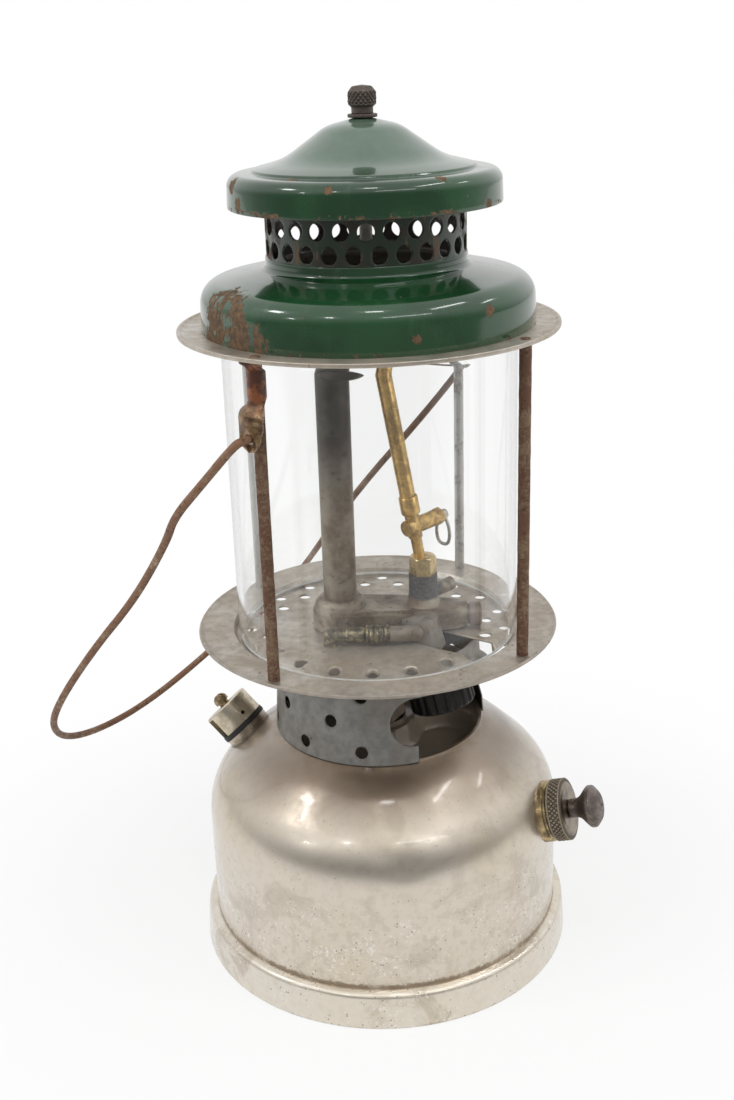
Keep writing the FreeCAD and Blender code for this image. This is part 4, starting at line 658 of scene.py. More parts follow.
def collar_field(points):
    """Distance to the nearest hole or to the window's edge, negative inside either."""
    a = np.abs(angle_from(points, WHEEL_AZIMUTH)) * COLLAR_R
    window = np.maximum(a - math.radians(WINDOW_EDGE) * COLLAR_R,
                        points[..., 2] - WINDOW_HEIGHT - WINDOW_END)
    return np.minimum(window, collar_drills(points))


collar_holes = [((0, 0, height), direction(COLLAR_PHASE - (k + (row % 2) / 2) * COLLAR_STEP),
                 COLLAR_BORE)
                for row, height in enumerate(COLLAR_ROWS) for k in range(COLLAR_PER_ROW)]
window_ends = [((0, 0, WINDOW_HEIGHT), direction(WHEEL_AZIMUTH + side * WINDOW_SPREAD), WINDOW_END)
               for side in (-1, 1)]
collar_drills = drills(*collar_holes, *window_ends)
collar_wall = cylinder_wall(COLLAR_R - 0.02, COLLAR_TOP_R, COLLAR_LOW + 0.02, COLLAR_HIGH - 0.02,
                            420, 66)
piece("collar_skin", "collar", *punched(collar_wall, collar_field), 0.75)

# %% The plate
PLATE_HOLES, PLATE_RINGS, PLATE_PHASE, PLATE_BORE = 19, (45.4, 52.6), 77.5, 2.5
SLOT_HALF, SLOT_START, SLOT_END = 8.0, 14.0, 56.8
SEAT_EDGE, SEAT_SLOPE, FLANGE_RISE, RIM_RISE, RIM_DROP = 58.2, 1.1, 2.6, 0.5, 1.9


def plate_height(radius):
    """Height of the plate's top: a dish for the globe, a step, a flange and a raised rim."""
    rim = np.clip((radius - (PLATE_R - 1.8)) / 0.8, 0, 1)
    rim = rim - RIM_DROP * np.clip((radius - PLATE_R + 0.6) / 0.6, 0, 1)
    step = smooth(radius, SEAT_EDGE, SEAT_EDGE + SEAT_SLOPE)
    return PLATE_LOW + 0.9 + FLANGE_RISE * step + RIM_RISE * rim


def plate_field(points):
    """Distance to the nearest air hole or to the slot under the valve's wheel."""
    u, v = points @ direction(WHEEL_AZIMUTH), points @ direction(WHEEL_AZIMUTH + 90)
    slot = np.maximum(np.abs(v) - SLOT_HALF, np.maximum(SLOT_START - u, u - SLOT_END))
    return np.minimum(slot, plate_drills(points))


plate_holes = [(spot(PLATE_PHASE + (k + ring / 2) * 360 / PLATE_HOLES, radius, PLATE_LOW),
                (0, 0, 1), PLATE_BORE)
               for ring, radius in enumerate(PLATE_RINGS) for k in range(PLATE_HOLES)]
plate_drills = drills(*plate_holes)
plate_r = np.concatenate([np.linspace(PLATE_R - 0.02, 57.5, 26), np.linspace(56.8, 36, 30),
                          np.linspace(35, 0, 28)])
flat_plate = turn(np.stack([plate_r, 0 * plate_r + PLATE_LOW], -1), 400)
plate_grid, plate_faces = punched(flat_plate, plate_field)
plate_grid[..., 2] = plate_height(np.linalg.norm(plate_grid[..., :2], axis=-1))
piece("plate_skin", "frame_plate", plate_grid, plate_faces, 0.85)

# %% [markdown]
# ## Rods and bent wire
# A post is a bar that was headed over at both ends.  The bail is one length of wire, bent by hand:
# the path is a smooth spline that follows its bends, and a circle is carried along the path.  The
# circle's frame is carried from point to point without twist, by projecting it on each new plane.

# %% Tubes along a path
def spline(corners, each=10):
    """Quadratic B-spline: each span runs between the middles of two legs, towards their corner."""
    p = np.array(corners, float)
    ends = np.concatenate([p[:1], (p[1:-2] + p[2:-1]) / 2, p[-1:]])
    t = np.linspace(0, 1, each, endpoint=False)[:, None, None]
    spans = (1 - t) ** 2 * ends[:-1] + 2 * t * (1 - t) * p[1:-1] + t ** 2 * ends[1:]
    return np.concatenate([spans.transpose(1, 0, 2).reshape(-1, 3), p[-1:]])


def tube(path, radius, around=16):
    """Grid of a circle carried along a path, drawn in to a point at each rounded end."""
    along = np.gradient(path, axis=0)
    along /= np.linalg.norm(along, axis=1, keepdims=True)
    side = np.cross(along[0], [0.3, 0.2, 0.9])
    frames = []
    for a in along:
        side = side - a * (side @ a)
        side = side / np.linalg.norm(side)
        frames.append((side, np.cross(a, side)))
    frames = np.array(frames)
    radius = np.broadcast_to(radius, len(path))[:, None]
    bulge = np.array([(0.0, 1.0), (0.55, 0.84), (0.85, 0.5)])
    rings = [(path[0] - along[0] * radius[0] * out * 0.5, radius[0] * r, 0) for r, out in bulge]
    rings += [(p, r, k) for k, (p, r) in enumerate(zip(path, radius))]
    rings += [(path[-1] + along[-1] * radius[-1] * out * 0.5, radius[-1] * r, -1)
              for r, out in bulge[::-1]]
    a = np.linspace(0, 2 * math.pi, around, endpoint=False)[:, None]
    return np.stack([p + r * (np.cos(a) * frames[k, 0] + np.sin(a) * frames[k, 1])
                     for p, r, k in rings], axis=1)


# %% The bail
HINGE_AZIMUTH, HINGE_HEIGHT, BAIL_LEAN, BAIL_WIRE = 234.6, 240.3, 40.5, 1.65
BAIL_CORNERS = [(-72.4, 0), (-77.0, 0), (-82.0, 0), (-85.6, 20), (-89.6, 37.5), (-82, 57),
                (-75.6, 97), (-80.4, 128), (-79.2, 168), (-70.5, 198), (-47, 228), (-15, 244.5),
                (18, 243.5), (45, 218), (70, 172), (75.5, 148), (68.5, 92), (79, 40), (82, 0),
                (77.0, 0), (72.4, 0)]
hinge, lean = -direction(HINGE_AZIMUTH), math.radians(BAIL_LEAN)
down = direction(HINGE_AZIMUTH - 90) * math.sin(lean) - np.array([0, 0, 1]) * math.cos(lean)
bail_path = spline([hinge * u + down * v + [0, 0, HINGE_HEIGHT] for u, v in BAIL_CORNERS], 14)
draw = np.random.default_rng(7)
unevenness = np.convolve(draw.uniform(-1, 1, len(bail_path)), np.ones(5) / 5, "same")
piece("bail_skin", "bail", tube(bail_path, BAIL_WIRE - 0.1 + 0.07 * unevenness))
bail_length = np.linalg.norm(np.diff(bail_path, axis=0), axis=1).sum()
print("bail wire runs", round(float(bail_length)), "mm")

# %% The posts
PIN_R, HEAD_R, POST_R = 1.5, 2.75, 2.3


def along_axis(points, origin, axis):
    """Points drawn about Z, carried to an origin with Z along an axis."""
    turned = Vector(axis).to_track_quat("Z", "Y").to_matrix()
    return points @ np.array(turned).T + np.array(origin)


def swollen(points, factor):
    """Points whose distance from the Z axis is multiplied by a factor."""
    return points * np.stack([factor, factor, 1 + 0 * factor], -1)


def lathe(name, node, corners, around, step, origin=(0, 0, 0), axis=(0, 0, 1), shape=None):
    """A solid turned about its own axis from corners (r, z, bend), with an optional reshaping."""
    points = turn(profile(*corners, step=step), around)
    if shape:
        points = shape(points)
    piece(name, node, along_axis(points, origin, axis))


def bruised(points, seed, amount=0.018):
    """Lets a bar's radius waver along its length, as rust and handling do."""
    draw = np.random.default_rng(seed)
    waves = [(draw.uniform(0.1, 0.9), draw.uniform(0, 6), draw.integers(0, 4)) for _ in range(7)]
    a = angle_from(points)
    swell = sum(np.sin(rate * points[..., 2] + phase + k * a) for rate, phase, k in waves)
    return swollen(points, 1 + amount / 3 * swell)


for seed, corner in enumerate(("front_left", "front_right", "back_right", "back_left")):
    node = "post_" + corner
    _, low, high = extent(node)
    x, y, _ = middle(node)
    lathe(node + "_skin", node,
          [(0, low), (2.0, low + 0.02, 0.4), (HEAD_R, low + 0.68, 0.1), (PIN_R, low + 0.75),
           (PIN_R, PLATE_HIGH + 0.02), (POST_R, PLATE_HIGH + 0.05, 0.2),
           (POST_R, RING_LOW - 0.05, 0.2), (PIN_R, RING_LOW), (PIN_R, RING_HIGH),
           (2.1, RING_HIGH + 0.02, 0.2), (1.7, high - 0.02, 0.3), (0, high)],
          20, 1.6, (x, y, 0), shape=lambda p, s=seed: bruised(p, s))

# %% [markdown]
# ## Knurls and flutes
# A knurled rim is two sets of crossed grooves rolled into a turned part, and a fluted wheel has
# scoops cut along its side.  Both are changes of the radius that depend on the angle and, for the
# knurl, on the height.  The grids are fine enough to carry them as real shape.

# %% Knurled and fluted parts
def knurl(points, low, high, teeth, depth, pitch):
    """Takes depth times the deeper of two crossed sets of round grooves off the radius."""
    a = angle_from(points) * teeth
    climb = points[..., 2] * 2 * math.pi / pitch
    groove = np.maximum(np.cos(a + climb), np.cos(a - climb)) * 0.5 + 0.5
    band = np.clip((points[..., 2] - low) * 3, 0, 1) * np.clip((high - points[..., 2]) * 3, 0, 1)
    radius = np.linalg.norm(points[..., :2], axis=-1)
    return swollen(points, 1 - depth * band * groove ** 2 / np.maximum(radius, 1))


CAP_FOOT, CAP_R, CAP_BORE = 3.5, 12.9, 2.35
lathe("pump_cap_skin", "pump_cap",
      [(CAP_BORE, CAP_FOOT), (CAP_R - 0.6, CAP_FOOT, 0.3), (CAP_R - 0.02, CAP_FOOT + 0.6, 0.3),
       (CAP_R - 0.02, CAP_FOOT + 5.9, 0.4), (CAP_R - 1.1, CAP_FOOT + 6.4, 0.4),
       (CAP_R - 1.9, CAP_FOOT + 6.4, 0.3), (CAP_R - 3.6, CAP_FOOT + 6.78, 0.8),
       (CAP_BORE, CAP_FOOT + 6.78), (CAP_BORE, CAP_FOOT)],
      480, 0.28, PUMP_SEAT, PUMP_AXIS,
      lambda p: knurl(p, CAP_FOOT + 0.9, CAP_FOOT + 5.6, 40, 0.5, 2.1))
_, NUT_LOW, NUT_HIGH = extent("ball_nut")
lathe("ball_nut_skin", "ball_nut",
      [(2.6, NUT_LOW), (4.0, NUT_LOW, 0.3), (4.0, NUT_LOW + 2.2, 0.8), (5.28, NUT_LOW + 3.4, 1.2),
       (5.28, NUT_LOW + 7.4, 1.4), (3.6, NUT_HIGH - 0.5, 1.0), (0, NUT_HIGH - 0.02)],
      240, 0.25, shape=lambda p: knurl(p, NUT_LOW + 3.2, NUT_LOW + 7.8, 17, 0.55, 2.0))
WASHER_LOW, WASHER_R, WASHER_BORE, WASHER_THICK = extent("nut_washer")[1], 5.48, 2.8, 1.28
lathe("nut_washer_skin", "nut_washer",
      [(WASHER_BORE, WASHER_LOW), (WASHER_R, WASHER_LOW, 0.4),
       (WASHER_R, WASHER_LOW + WASHER_THICK, 0.4), (WASHER_BORE, WASHER_LOW + WASHER_THICK),
       (WASHER_BORE, WASHER_LOW)], 96, 0.4)

WHEEL_SEAT = spot(WHEEL_AZIMUTH, 31.9, 112.5)
WHEEL_AXIS = direction(WHEEL_AZIMUTH + 180, 90 - 17.0)
WHEEL_R, WHEEL_H, WHEEL_BORE, FLUTES, FLUTE_R = 13.4, 23.0, 2.3, 20, 1.5


def fluted(points):
    """Cuts round scoops into the side: the radius stops at the near side of each scoop's circle."""
    radius = np.linalg.norm(points[..., :2], axis=-1)
    a = angle_from(points) * FLUTES / (2 * math.pi)
    a = (a - np.round(a)) * 2 * math.pi / FLUTES
    centre = WHEEL_R + FLUTE_R * 0.45
    inside = FLUTE_R ** 2 - (centre * np.sin(a)) ** 2
    floor = np.where(inside > 0, centre * np.cos(a) - np.sqrt(np.maximum(inside, 0)), 1e3)
    return swollen(points, np.minimum(radius, floor) / np.maximum(radius, 1e-6))


lathe("wheel_skin", "valve_wheel",
      [(WHEEL_BORE, 3.0), (9.9, 3.0, 0.5), (10.8, 0.02, 0.5), (12.4, 0.02, 0.8),
       (WHEEL_R - 0.02, 1.2, 0.8), (WHEEL_R - 0.02, WHEEL_H - 3.0, 1.5),
       (WHEEL_R - 3.0, WHEEL_H - 0.02, 1.5), (WHEEL_BORE, WHEEL_H - 0.02), (WHEEL_BORE, 3.0)],
      360, 0.8, WHEEL_SEAT, WHEEL_AXIS, fluted)

# %% [markdown]
# ## The pump's knob
# It is plain turned work: a waisted knob whose face is slightly crowned, with a lathe centre in it.

# %% The pump's knob
KNOB_FOOT, KNOB_TIP, KNOB_R, KNOB_NECK = 10.6, 24.4, 8.7, 3.9
lathe("knob_skin", "pump_knob",
      [(2.25, KNOB_FOOT), (KNOB_NECK, KNOB_FOOT, 0.4), (KNOB_NECK, KNOB_FOOT + 4.0, 5.0),
       (KNOB_R - 0.6, KNOB_TIP - 6.0, 1.2), (KNOB_R - 0.02, KNOB_TIP - 5.2, 0.5),
       (KNOB_R - 0.02, KNOB_TIP - 3.6, 1.0), (5.6, KNOB_TIP - 1.0, 5.0),
       (0.8, KNOB_TIP - 0.25, 0.3), (0.6, KNOB_TIP - 1.2, 0.2), (0, KNOB_TIP - 1.5)],
      96, 0.35, PUMP_SEAT, PUMP_AXIS)

# %% [markdown]
# ## The bail's ears
# Each ear is one strip of sheet.  At the top it is curled round its post, then it steps out and ends
# in a crowned, rounded lobe with the hole for the wire.  A flat strip with a bevel looks like card,
# so the section itself changes down the strip: part of a circle at the post, a shallow arch below.

# %% The bail's ears
_, EAR_FOOT, EAR_TOP = extent("bail_ear_front")
LOBE = 5.0
EAR_HINGE, EAR_WALL, EAR_OUT = EAR_FOOT + LOBE, 1.2, 74.75
POST_AT, CURL, CURL_ANGLE = 68.5, 3.6, math.radians(112)
climb = np.concatenate([-LOBE * np.cos(np.linspace(math.radians(9), math.pi / 2, 16))[:-1],
                        np.linspace(0, EAR_TOP - EAR_HINGE, 66)])
EAR_HALF = np.interp(climb, [0, 3, 6.5, 9, 11, 14, 23, 25.5, 27.2],
                     [4.7, 5.3, 5.75, 5.5, 4.7, 3.7, 3.6, 4.6, 5.0])
EAR_HALF = np.convolve(np.pad(EAR_HALF, 3, "edge"), np.ones(7) / 7, "valid")
EAR_HALF *= np.sqrt(np.clip(1 - (np.minimum(climb, 0) / LOBE) ** 2, 0, 1))


def ear(node, azimuth, seed):
    """Blend of an arch (radius R - crown s^2, side w s) and part of a circle round the post (radius
    P + c cos(a s), side c sin(a s)), with s from -1 to 1 across the strip."""
    s, d = np.meshgrid(np.linspace(-1, 1, 33), climb, indexing="ij")
    below_top = 1 - smooth(d, 23.0, 26.0)
    curled = smooth(d, 9.5, 14.5) * below_top
    step = smooth(d, 6.0, 14.5)
    crown = 0.5 + 1.0 * smooth(d, -4, 7) * below_top
    draw = np.random.default_rng(seed)
    lumps = sum(0.11 * np.sin(a * s + b * d + c)
                for a, b, c in draw.uniform((1, 0.3, 0), (4, 1.1, 6), (6, 3)))
    arch = EAR_OUT - 0.25 - (EAR_OUT - POST_AT - CURL) * step - crown * s ** 2 + lumps
    radius = arch * (1 - curled) + (POST_AT + CURL * np.cos(CURL_ANGLE * s)) * curled
    side = EAR_HALF * s * (1 - curled) + CURL * np.sin(CURL_ANGLE * s) * curled
    points = (radius[..., None] * direction(azimuth) + side[..., None] * direction(azimuth + 90)
              + (EAR_HINGE + d)[..., None] * direction(0, 90))
    hole = (spot(azimuth, 66, EAR_HINGE), direction(azimuth), 1.95)
    points, faces = punched(points, drills(hole))
    faces = [f for f in faces if max(f) - min(f) < 3 * len(climb)]
    worn_edge(piece(node + "_skin", node, points, faces, EAR_WALL), 0.25, 50)


ear("bail_ear_front", HINGE_AZIMUTH, 4)
ear("bail_ear_back", HINGE_AZIMUTH - 180, 9)

# %% [markdown]
# ## The small parts
# Everything cast, turned or bent that is left gets a dressed copy.  Parts that sit out of sight
# inside the fount or the burner keep the model's own mesh and only get a finish.

# %% The small parts
SMALL = {"filler_cap": 0.35, "filler_vent_screw": 0.12, "filler_bung": 0.25, "filler_gasket": 0.3,
         "pump_bung": 0.2, "pump_rod": 0, "valve_bung": 0.3, "valve_bonnet": 0.3,
         "fuel_column": 0, "valve_stem": 0.1, "burner_casting": 0.5, "casting_screws": 0.2,
         "cleanout_plug": 0.3, "valve_spigot": 0.2, "line_packing_nut": 0.12, "line_elbow": 0.2,
         "mixing_tube": 0.15, "burner_manifold": 0.4, "burner_cap_front": 0.15,
         "burner_cap_back": 0.15, "vaporiser_tube": 0, "generator_head": 0.3,
         "generator_tube": 0.15, "generator_sleeve": 0.15, "cleaner_block": 0.25,
         "cleaner_gland_nut": 0.2, "cleaner_lever": 0, "coupling_nut": 0.3, "centre_stud": 0.1,
         "fount_bottom": 0}
for node, bevel in SMALL.items():
    dressed(node, bevel)

# %% [markdown]
# ## Brass under worn nickel
# The fount and foot were nickel-plated brass.  The plate has gone dull and thin, so the colour
# drifts between silver grey and straw.  The metal is still smooth but no longer polished:
# reflections are soft and vary from place to place.  The lower half is peppered with small pits,
# and rust-brown dirt sits in the seam above the foot.

# %% Worn nickel
SILVER, STRAW, DULL = (0.73, 0.655, 0.555), (0.68, 0.58, 0.42), (0.55, 0.48, 0.39)
# The middle colour on the next line is painted shade for the fount's upper cone.
DIRT, CONE_SHADE_COLOUR, PALE = (0.22, 0.15, 0.08), (0.235, 0.180, 0.135), (0.90, 0.86, 0.78)
# The second colour on the next line is oil, darkened further as painted shade inside the collar.
PITTED, OIL_AND_SHADE_COLOUR = (0.20, 0.155, 0.11), (0.30, 0.25, 0.19)
finish = {}


def worn_nickel(name, dirt_low=-100.0, dirt_high=-90.0, straw=0.0, fresh=0.0):
    """Nickel worn thin over brass, dirtier below a height; fresh lifts it towards the pale plate."""
    f = Finish(name, Coat_Weight=0.8, Coat_Roughness=0.10)
    z = f.axis("Z")
    cloud = f.noise(46, 1, 3, 0.55)
    streaks = f.noise(16, 2, 4, 0.6, (1, 1, 0.35))
    fine = f.noise(3.2, 3, 3, 0.6)
    thin = (cloud + (streaks - 0.5) * 0.5 + straw).between(0.44, 0.80)
    dull = f.noise(24, 4, 5, 0.62, twist=0.6).between(0.50, 0.66)
    low_down = z.between(66, 34)
    where = f.noise(11, 6, 4, 0.6)
    pale = (f.noise(1.5, 5, 4, 0.72) + (where - 0.5) * 0.5).between(0.585, 0.66) * low_down
    pits = f.cells(2.6, 10).between(0.16, 0.08) * where.between(0.44, 0.54)
    pits = pits * (0.35 + low_down * 0.65)
    seam = z + (f.noise(2.6, 7, 4, 0.7) - 0.5) * 4.5
    grime = seam.between(dirt_high, dirt_low) * f.noise(9, 15, 3).between(0.30, 0.52, 0.35, 1.0)
    stain = f.noise(7, 8, 5, 0.72).between(0.64, 0.70) * low_down
    # Painted shade: the upper cone darkens towards the collar, standing in for the dark plate it
    # reflects.
    cone_shade = z.between(73, 95) * (0.50 + cloud * 0.8)
    # A ragged band just below the collar's foot is darker, rougher and less metallic.
    collar_foot_band = z.between(96.2, 99.2) * f.noise(5, 16, 4, 0.65).between(0.36, 0.60) * 0.7
    oil_and_shade = f.oil_and_shade()
    dirt = grime.larger(stain * 0.4).larger(pits * 0.6).larger(collar_foot_band)
    colour = f.mix(thin * 0.75, SILVER, STRAW)
    colour = f.mix(dull * 0.55, colour, DULL)
    colour = f.mix(fine.between(0.46, 0.64) * (0.18 + low_down * 0.22), colour, DULL)
    colour = f.mix((pale * 0.8).larger(fresh * (1 - dull)), colour, PALE)
    # Painted shade on the upper cone.
    colour = f.mix(cone_shade * 0.95, colour, CONE_SHADE_COLOUR)
    colour = f.mix(pits * 0.8, colour, PITTED)
    colour = f.mix(dirt * 0.85, colour, DIRT)
    # Oil and painted shade inside the collar: darker, browner, rougher and less metallic.
    colour = f.mix(oil_and_shade * 0.5, colour, OIL_AND_SHADE_COLOUR)
    rough = 0.35 + dull * 0.08 + (fine - 0.5) * 0.20 + dirt * 0.25 + pale * 0.12 + oil_and_shade * 0.2
    height = f.noise(1.3, 9, 4, 0.6) * 0.4 + pale * 0.5 - pits * 0.8
    return f.done(Base_Color=colour, Roughness=rough, Normal=f.bump(height, 0.05),
                  Metallic=1 - dirt * 0.75 - pale * 0.25 - oil_and_shade * 0.45)


finish["fount"] = worn_nickel("fount_nickel", 17.2, 18.6)
finish["foot"] = worn_nickel("foot_nickel", -0.6, 1.2, 0.10, 0.40)
finish["nickel"] = worn_nickel("small_nickel", straw=0.12)

# %% [markdown]
# ## Porcelain enamel
# The hood is dipped in glass enamel: a deep green with a hard clear surface and a slight orange
# peel.  Where it was knocked the glass has flaked off to the steel, which has rusted brown, with
# islands of enamel left in it.  Rims wear first, so chips gather there.  A flake has a crisp edge
# and lies a little lower than the enamel, which the bump shows.

# %% Green enamel
GREEN, DEEP_GREEN = (0.0120, 0.058, 0.020), (0.0065, 0.034, 0.0115)
# The third colour on the next line darkens inner faces: soot, and painted shade.
FILM, DUST, SOOT_AND_SHADE = (0.13, 0.18, 0.13), (0.085, 0.135, 0.098), (0.026, 0.018, 0.012)
RUST, DARK_RUST = (0.165, 0.092, 0.046), (0.060, 0.040, 0.022)


def enamel(name, spots, rim, wear, dusty=(900, 901)):
    """Enamel with flakes at given spots, along a rim's height and here and there, and soot inside,
    darkened further as painted shade.

    A pale film of dust lies on it between two heights and above."""
    f = Finish(name, Coat_Roughness=0.03, Specular_IOR_Level=0.5)
    z = f.axis("Z")
    flakes = 0
    for k, (place, radius, ragged) in enumerate(spots):
        patch = f.near(place, radius, ragged, k + 3)
        islands = f.noise(radius * 0.30, k + 9, 4, 0.65, (1, 1, 0.55)).between(0.545, 0.57)
        patch = patch * (1 - islands) if radius > 6 else patch
        flakes = patch.larger(flakes)
    chips = f.noise(2.6, 21, 4, 0.6) + (f.noise(12, 22) - 0.5) * 0.9
    rim_band = (z - rim).math("ABSOLUTE").between(1.6, 0.5)
    flakes = (chips.between(wear + 0.06, wear + 0.08) * rim_band).larger(flakes)
    specks = f.cells(7, 23).between(0.055, 0.04) * f.noise(20, 24).between(0.52, 0.56)
    flakes = flakes.larger(specks)
    rust = f.mix(f.noise(1.8, 25, 5, 0.7).between(0.35, 0.68), DARK_RUST, RUST)
    tint = f.mix(f.noise(30, 26, 3).between(0.35, 0.7), GREEN, DEEP_GREEN)
    film = f.noise(11, 27, 5, 0.65, (1, 1, 0.4)).between(0.52, 0.78)
    dust = z.between(*dusty) * (0.55 + f.noise(7, 30, 4, 0.6, (1, 1, 0.3)) * 0.7)
    tint = f.mix(dust, f.mix(film * 0.16, tint, FILM), DUST)
    lining = f.lining()
    # Inner and downward faces: soot, and painted shade.
    colour = f.mix(lining * 0.92, f.mix(flakes, tint, rust), SOOT_AND_SHADE)
    peel = f.bump(f.noise(2.4, 28, 1), 0.012)
    edge = f.bump(1 - flakes * (1 - f.noise(0.8, 29, 3) * 0.5), 0.09, peel)
    bare = flakes.larger(lining)
    rough = (0.16 + film * 0.14) * (1 - bare) + bare * 0.78
    return f.done(Base_Color=colour, Roughness=rough, Coat_Weight=(1 - bare) * 0.7, Normal=edge)


dome_spots = [(spot(214, 61.0, 275.0), 14.0, 0.30), (spot(228, 63.0, 270.5), 9.0, 0.4),
              (spot(222, 60.5, 281.0), 4.0, 0.4), (spot(312, 62.0, 280.0), 2.6, 0.4),
              (spot(285, 62.8, 274.0), 1.8, 0.4), (spot(120, 60.0, 284.0), 6.5, 0.4)]
hat_spots = [(spot(256, 50.5, 323.0), 1.6, 0.4), (spot(303, 48.0, 325.0), 2.0, 0.4),
             (spot(208, 51.0, 316.0), 2.6, 0.5), (spot(200, 50.0, 322.0), 3.0, 0.5),
             (spot(329, 51.0, 314.0), 2.2, 0.4), (spot(235, 44.0, 326.0), 1.8, 0.5),
             (spot(80, 50.0, 322.0), 4.0, 0.4)]
finish["dome"] = enamel("dome_enamel", dome_spots, 268.6, 0.58)
finish["hat"] = enamel("hat_enamel", hat_spots, 313.6, 0.52, (325.8, 329.5))

# %% [markdown]
# ## The neck's enamel
# Heat from the burner has crazed and browned the enamel round the holes, so the neck is dull, the
# green shows only in places, and rust runs down from the hat's joint.

# %% Burnt enamel on the neck
f = Finish("neck_enamel", Coat_Roughness=0.12)
patches = f.noise(9, 31, 5, 0.65).between(0.47, 0.60)
runs = f.noise(3.6, 32, 4, 0.6, (1, 1, 0.22)).between(0.57, 0.66)
rust = f.mix(f.noise(1.6, 33, 4, 0.7), DARK_RUST, RUST)
browned = f.mix(patches, (0.010, 0.024, 0.011), (0.030, 0.023, 0.015))
# Inner faces of the neck: soot, and painted shade.
colour = f.mix(f.lining() * 0.9, f.mix(runs * 0.8, browned, rust), SOOT_AND_SHADE)
finish["neck"] = f.done(Base_Color=colour, Roughness=0.30 + patches * 0.25 + runs * 0.2,
                        Coat_Weight=(1 - patches.larger(runs)) * 0.5,
                        Normal=f.bump(f.noise(1.4, 34, 4, 0.6), 0.10))

# %% [markdown]
# ## Galvanised and tinned steel
# The collar, the plate and the ring are zinc or tin-plated steel that has dulled to a mottled grey.
# Zinc grows in crystals, so cells of slightly different grey lie side by side; dirt gathers in
# clouds and a few freckles of rust break through.

# %% Galvanised steel
def galvanised(name, pale, dark, warm, rust_amount, rough=0.42, inside=0.0):
    """Dull mottled plating with clouds of dirt and freckles of rust, and painted shade on the inner
    faces.
    """
    f = Finish(name)
    cloud = f.noise(18, 41, 4, 0.6).between(0.34, 0.68)
    mottle = f.noise(4.5, 42, 4, 0.65).between(0.3, 0.72)
    tone = f.mix(mottle, pale, dark)
    tone = f.mix(cloud * 0.6, tone, warm)
    freckles = f.noise(2.2, 43, 5, 0.7) + (f.noise(16, 44) - 0.5) * 0.6
    rusty = freckles.between(rust_amount, rust_amount + 0.10)
    colour = f.mix(rusty, tone, f.mix(f.noise(1.2, 45), DARK_RUST, RUST))
    height = f.noise(1.0, 46, 4, 0.65) * 0.6 + rusty * 0.6
    # Inner faces, as much as inside says, are painted shade.
    return f.done(Base_Color=f.mix(f.lining() * inside, colour, (0.022, 0.019, 0.016)),
                  Roughness=rough + (mottle - 0.5) * 0.14 + cloud * 0.10 + rusty * 0.3,
                  Metallic=(1 - rusty) * (0.85 - cloud * 0.25), Normal=f.bump(height, 0.06))


# The collar's last number darkens its inner faces as painted shade.
finish["collar"] = galvanised("collar_zinc", (0.250, 0.245, 0.228), (0.190, 0.186, 0.172),
                              (0.175, 0.148, 0.122), 0.72, 0.40, 0.75)
finish["plate"] = galvanised("plate_zinc", (0.56, 0.51, 0.45), (0.40, 0.36, 0.31),
                             (0.37, 0.30, 0.23), 0.66)
finish["ring"] = galvanised("ring_zinc", (0.58, 0.53, 0.465), (0.44, 0.395, 0.34),
                            (0.42, 0.345, 0.26), 0.67, 0.36)

# %% [markdown]
# ## Rusty and bare steel
# The bail and the front posts are rusted all over, but handling keeps the rust thin and smooth: a
# brown skin with darker specks, and bare steel where it rubs.  The back posts are the same steel
# with less rust.

# %% Steel with rust
DARK_BROWN = (0.075, 0.050, 0.036)


def steel(name, metal_colour, rust_low, rust_high, brown, dark, rough, size):
    """Steel under a rust that grows in blotches; a low threshold means more rust."""
    f = Finish(name)
    blotch = f.noise(size * 3.5, 51, 4, 0.62) * 0.55 + f.noise(size * 0.6, 52, 4, 0.7) * 0.45
    rust = blotch.between(rust_low, rust_high)
    specks = f.noise(size * 0.45, 53, 3, 0.65).between(0.56, 0.68)
    colour = f.mix(rust, metal_colour, f.mix(specks, brown, dark))
    height = rust * 0.5 + f.noise(size * 0.3, 54, 4, 0.7) * 0.5
    return f.done(Base_Color=colour, Roughness=rough + rust * 0.28 + specks * 0.08,
                  Metallic=1 - rust * 0.75, Normal=f.bump(height, 0.14))


for look, settings in {
        "bail": ("bail_steel", (0.38, 0.28, 0.19), 0.33, 0.52, (0.205, 0.108, 0.062),
                 (0.075, 0.043, 0.030), 0.38, 4.0),
        "rusty post": ("post_rust", (0.30, 0.215, 0.14), 0.36, 0.55, (0.118, 0.058, 0.033),
                       (0.034, 0.021, 0.015), 0.45, 2.2),
        "grey post": ("post_steel", (0.46, 0.45, 0.43), 0.50, 0.66, (0.16, 0.12, 0.09),
                      DARK_BROWN, 0.36, 3.0),
        "grey ear": ("ear_steel", (0.46, 0.44, 0.40), 0.52, 0.70, (0.15, 0.11, 0.08),
                     DARK_BROWN, 0.36, 4.0),
        "small steel": ("small_steel", (0.46, 0.44, 0.40), 0.50, 0.68, (0.16, 0.11, 0.07),
                        DARK_BROWN, 0.34, 1.6),
        "dark nut": ("nut_steel", (0.16, 0.135, 0.12), 0.36, 0.60, (0.060, 0.044, 0.036),
                     (0.022, 0.017, 0.015), 0.32, 1.6)}.items():
    finish[look] = steel(*settings)

# %% [markdown]
# ## The front ear
# One ear is still lacquered: a glossy brown skin, red where it is curled round the post and worn to
# an olive gold on the lobe, with soft lumps under it that break the shine up.  The lobe's gold is
# also a painted highlight.

# %% The front ear
f = Finish("ear_lacquer", Coat_Weight=0.5, Coat_Roughness=0.12)
patches = f.noise(4.5, 61, 3, 0.6)
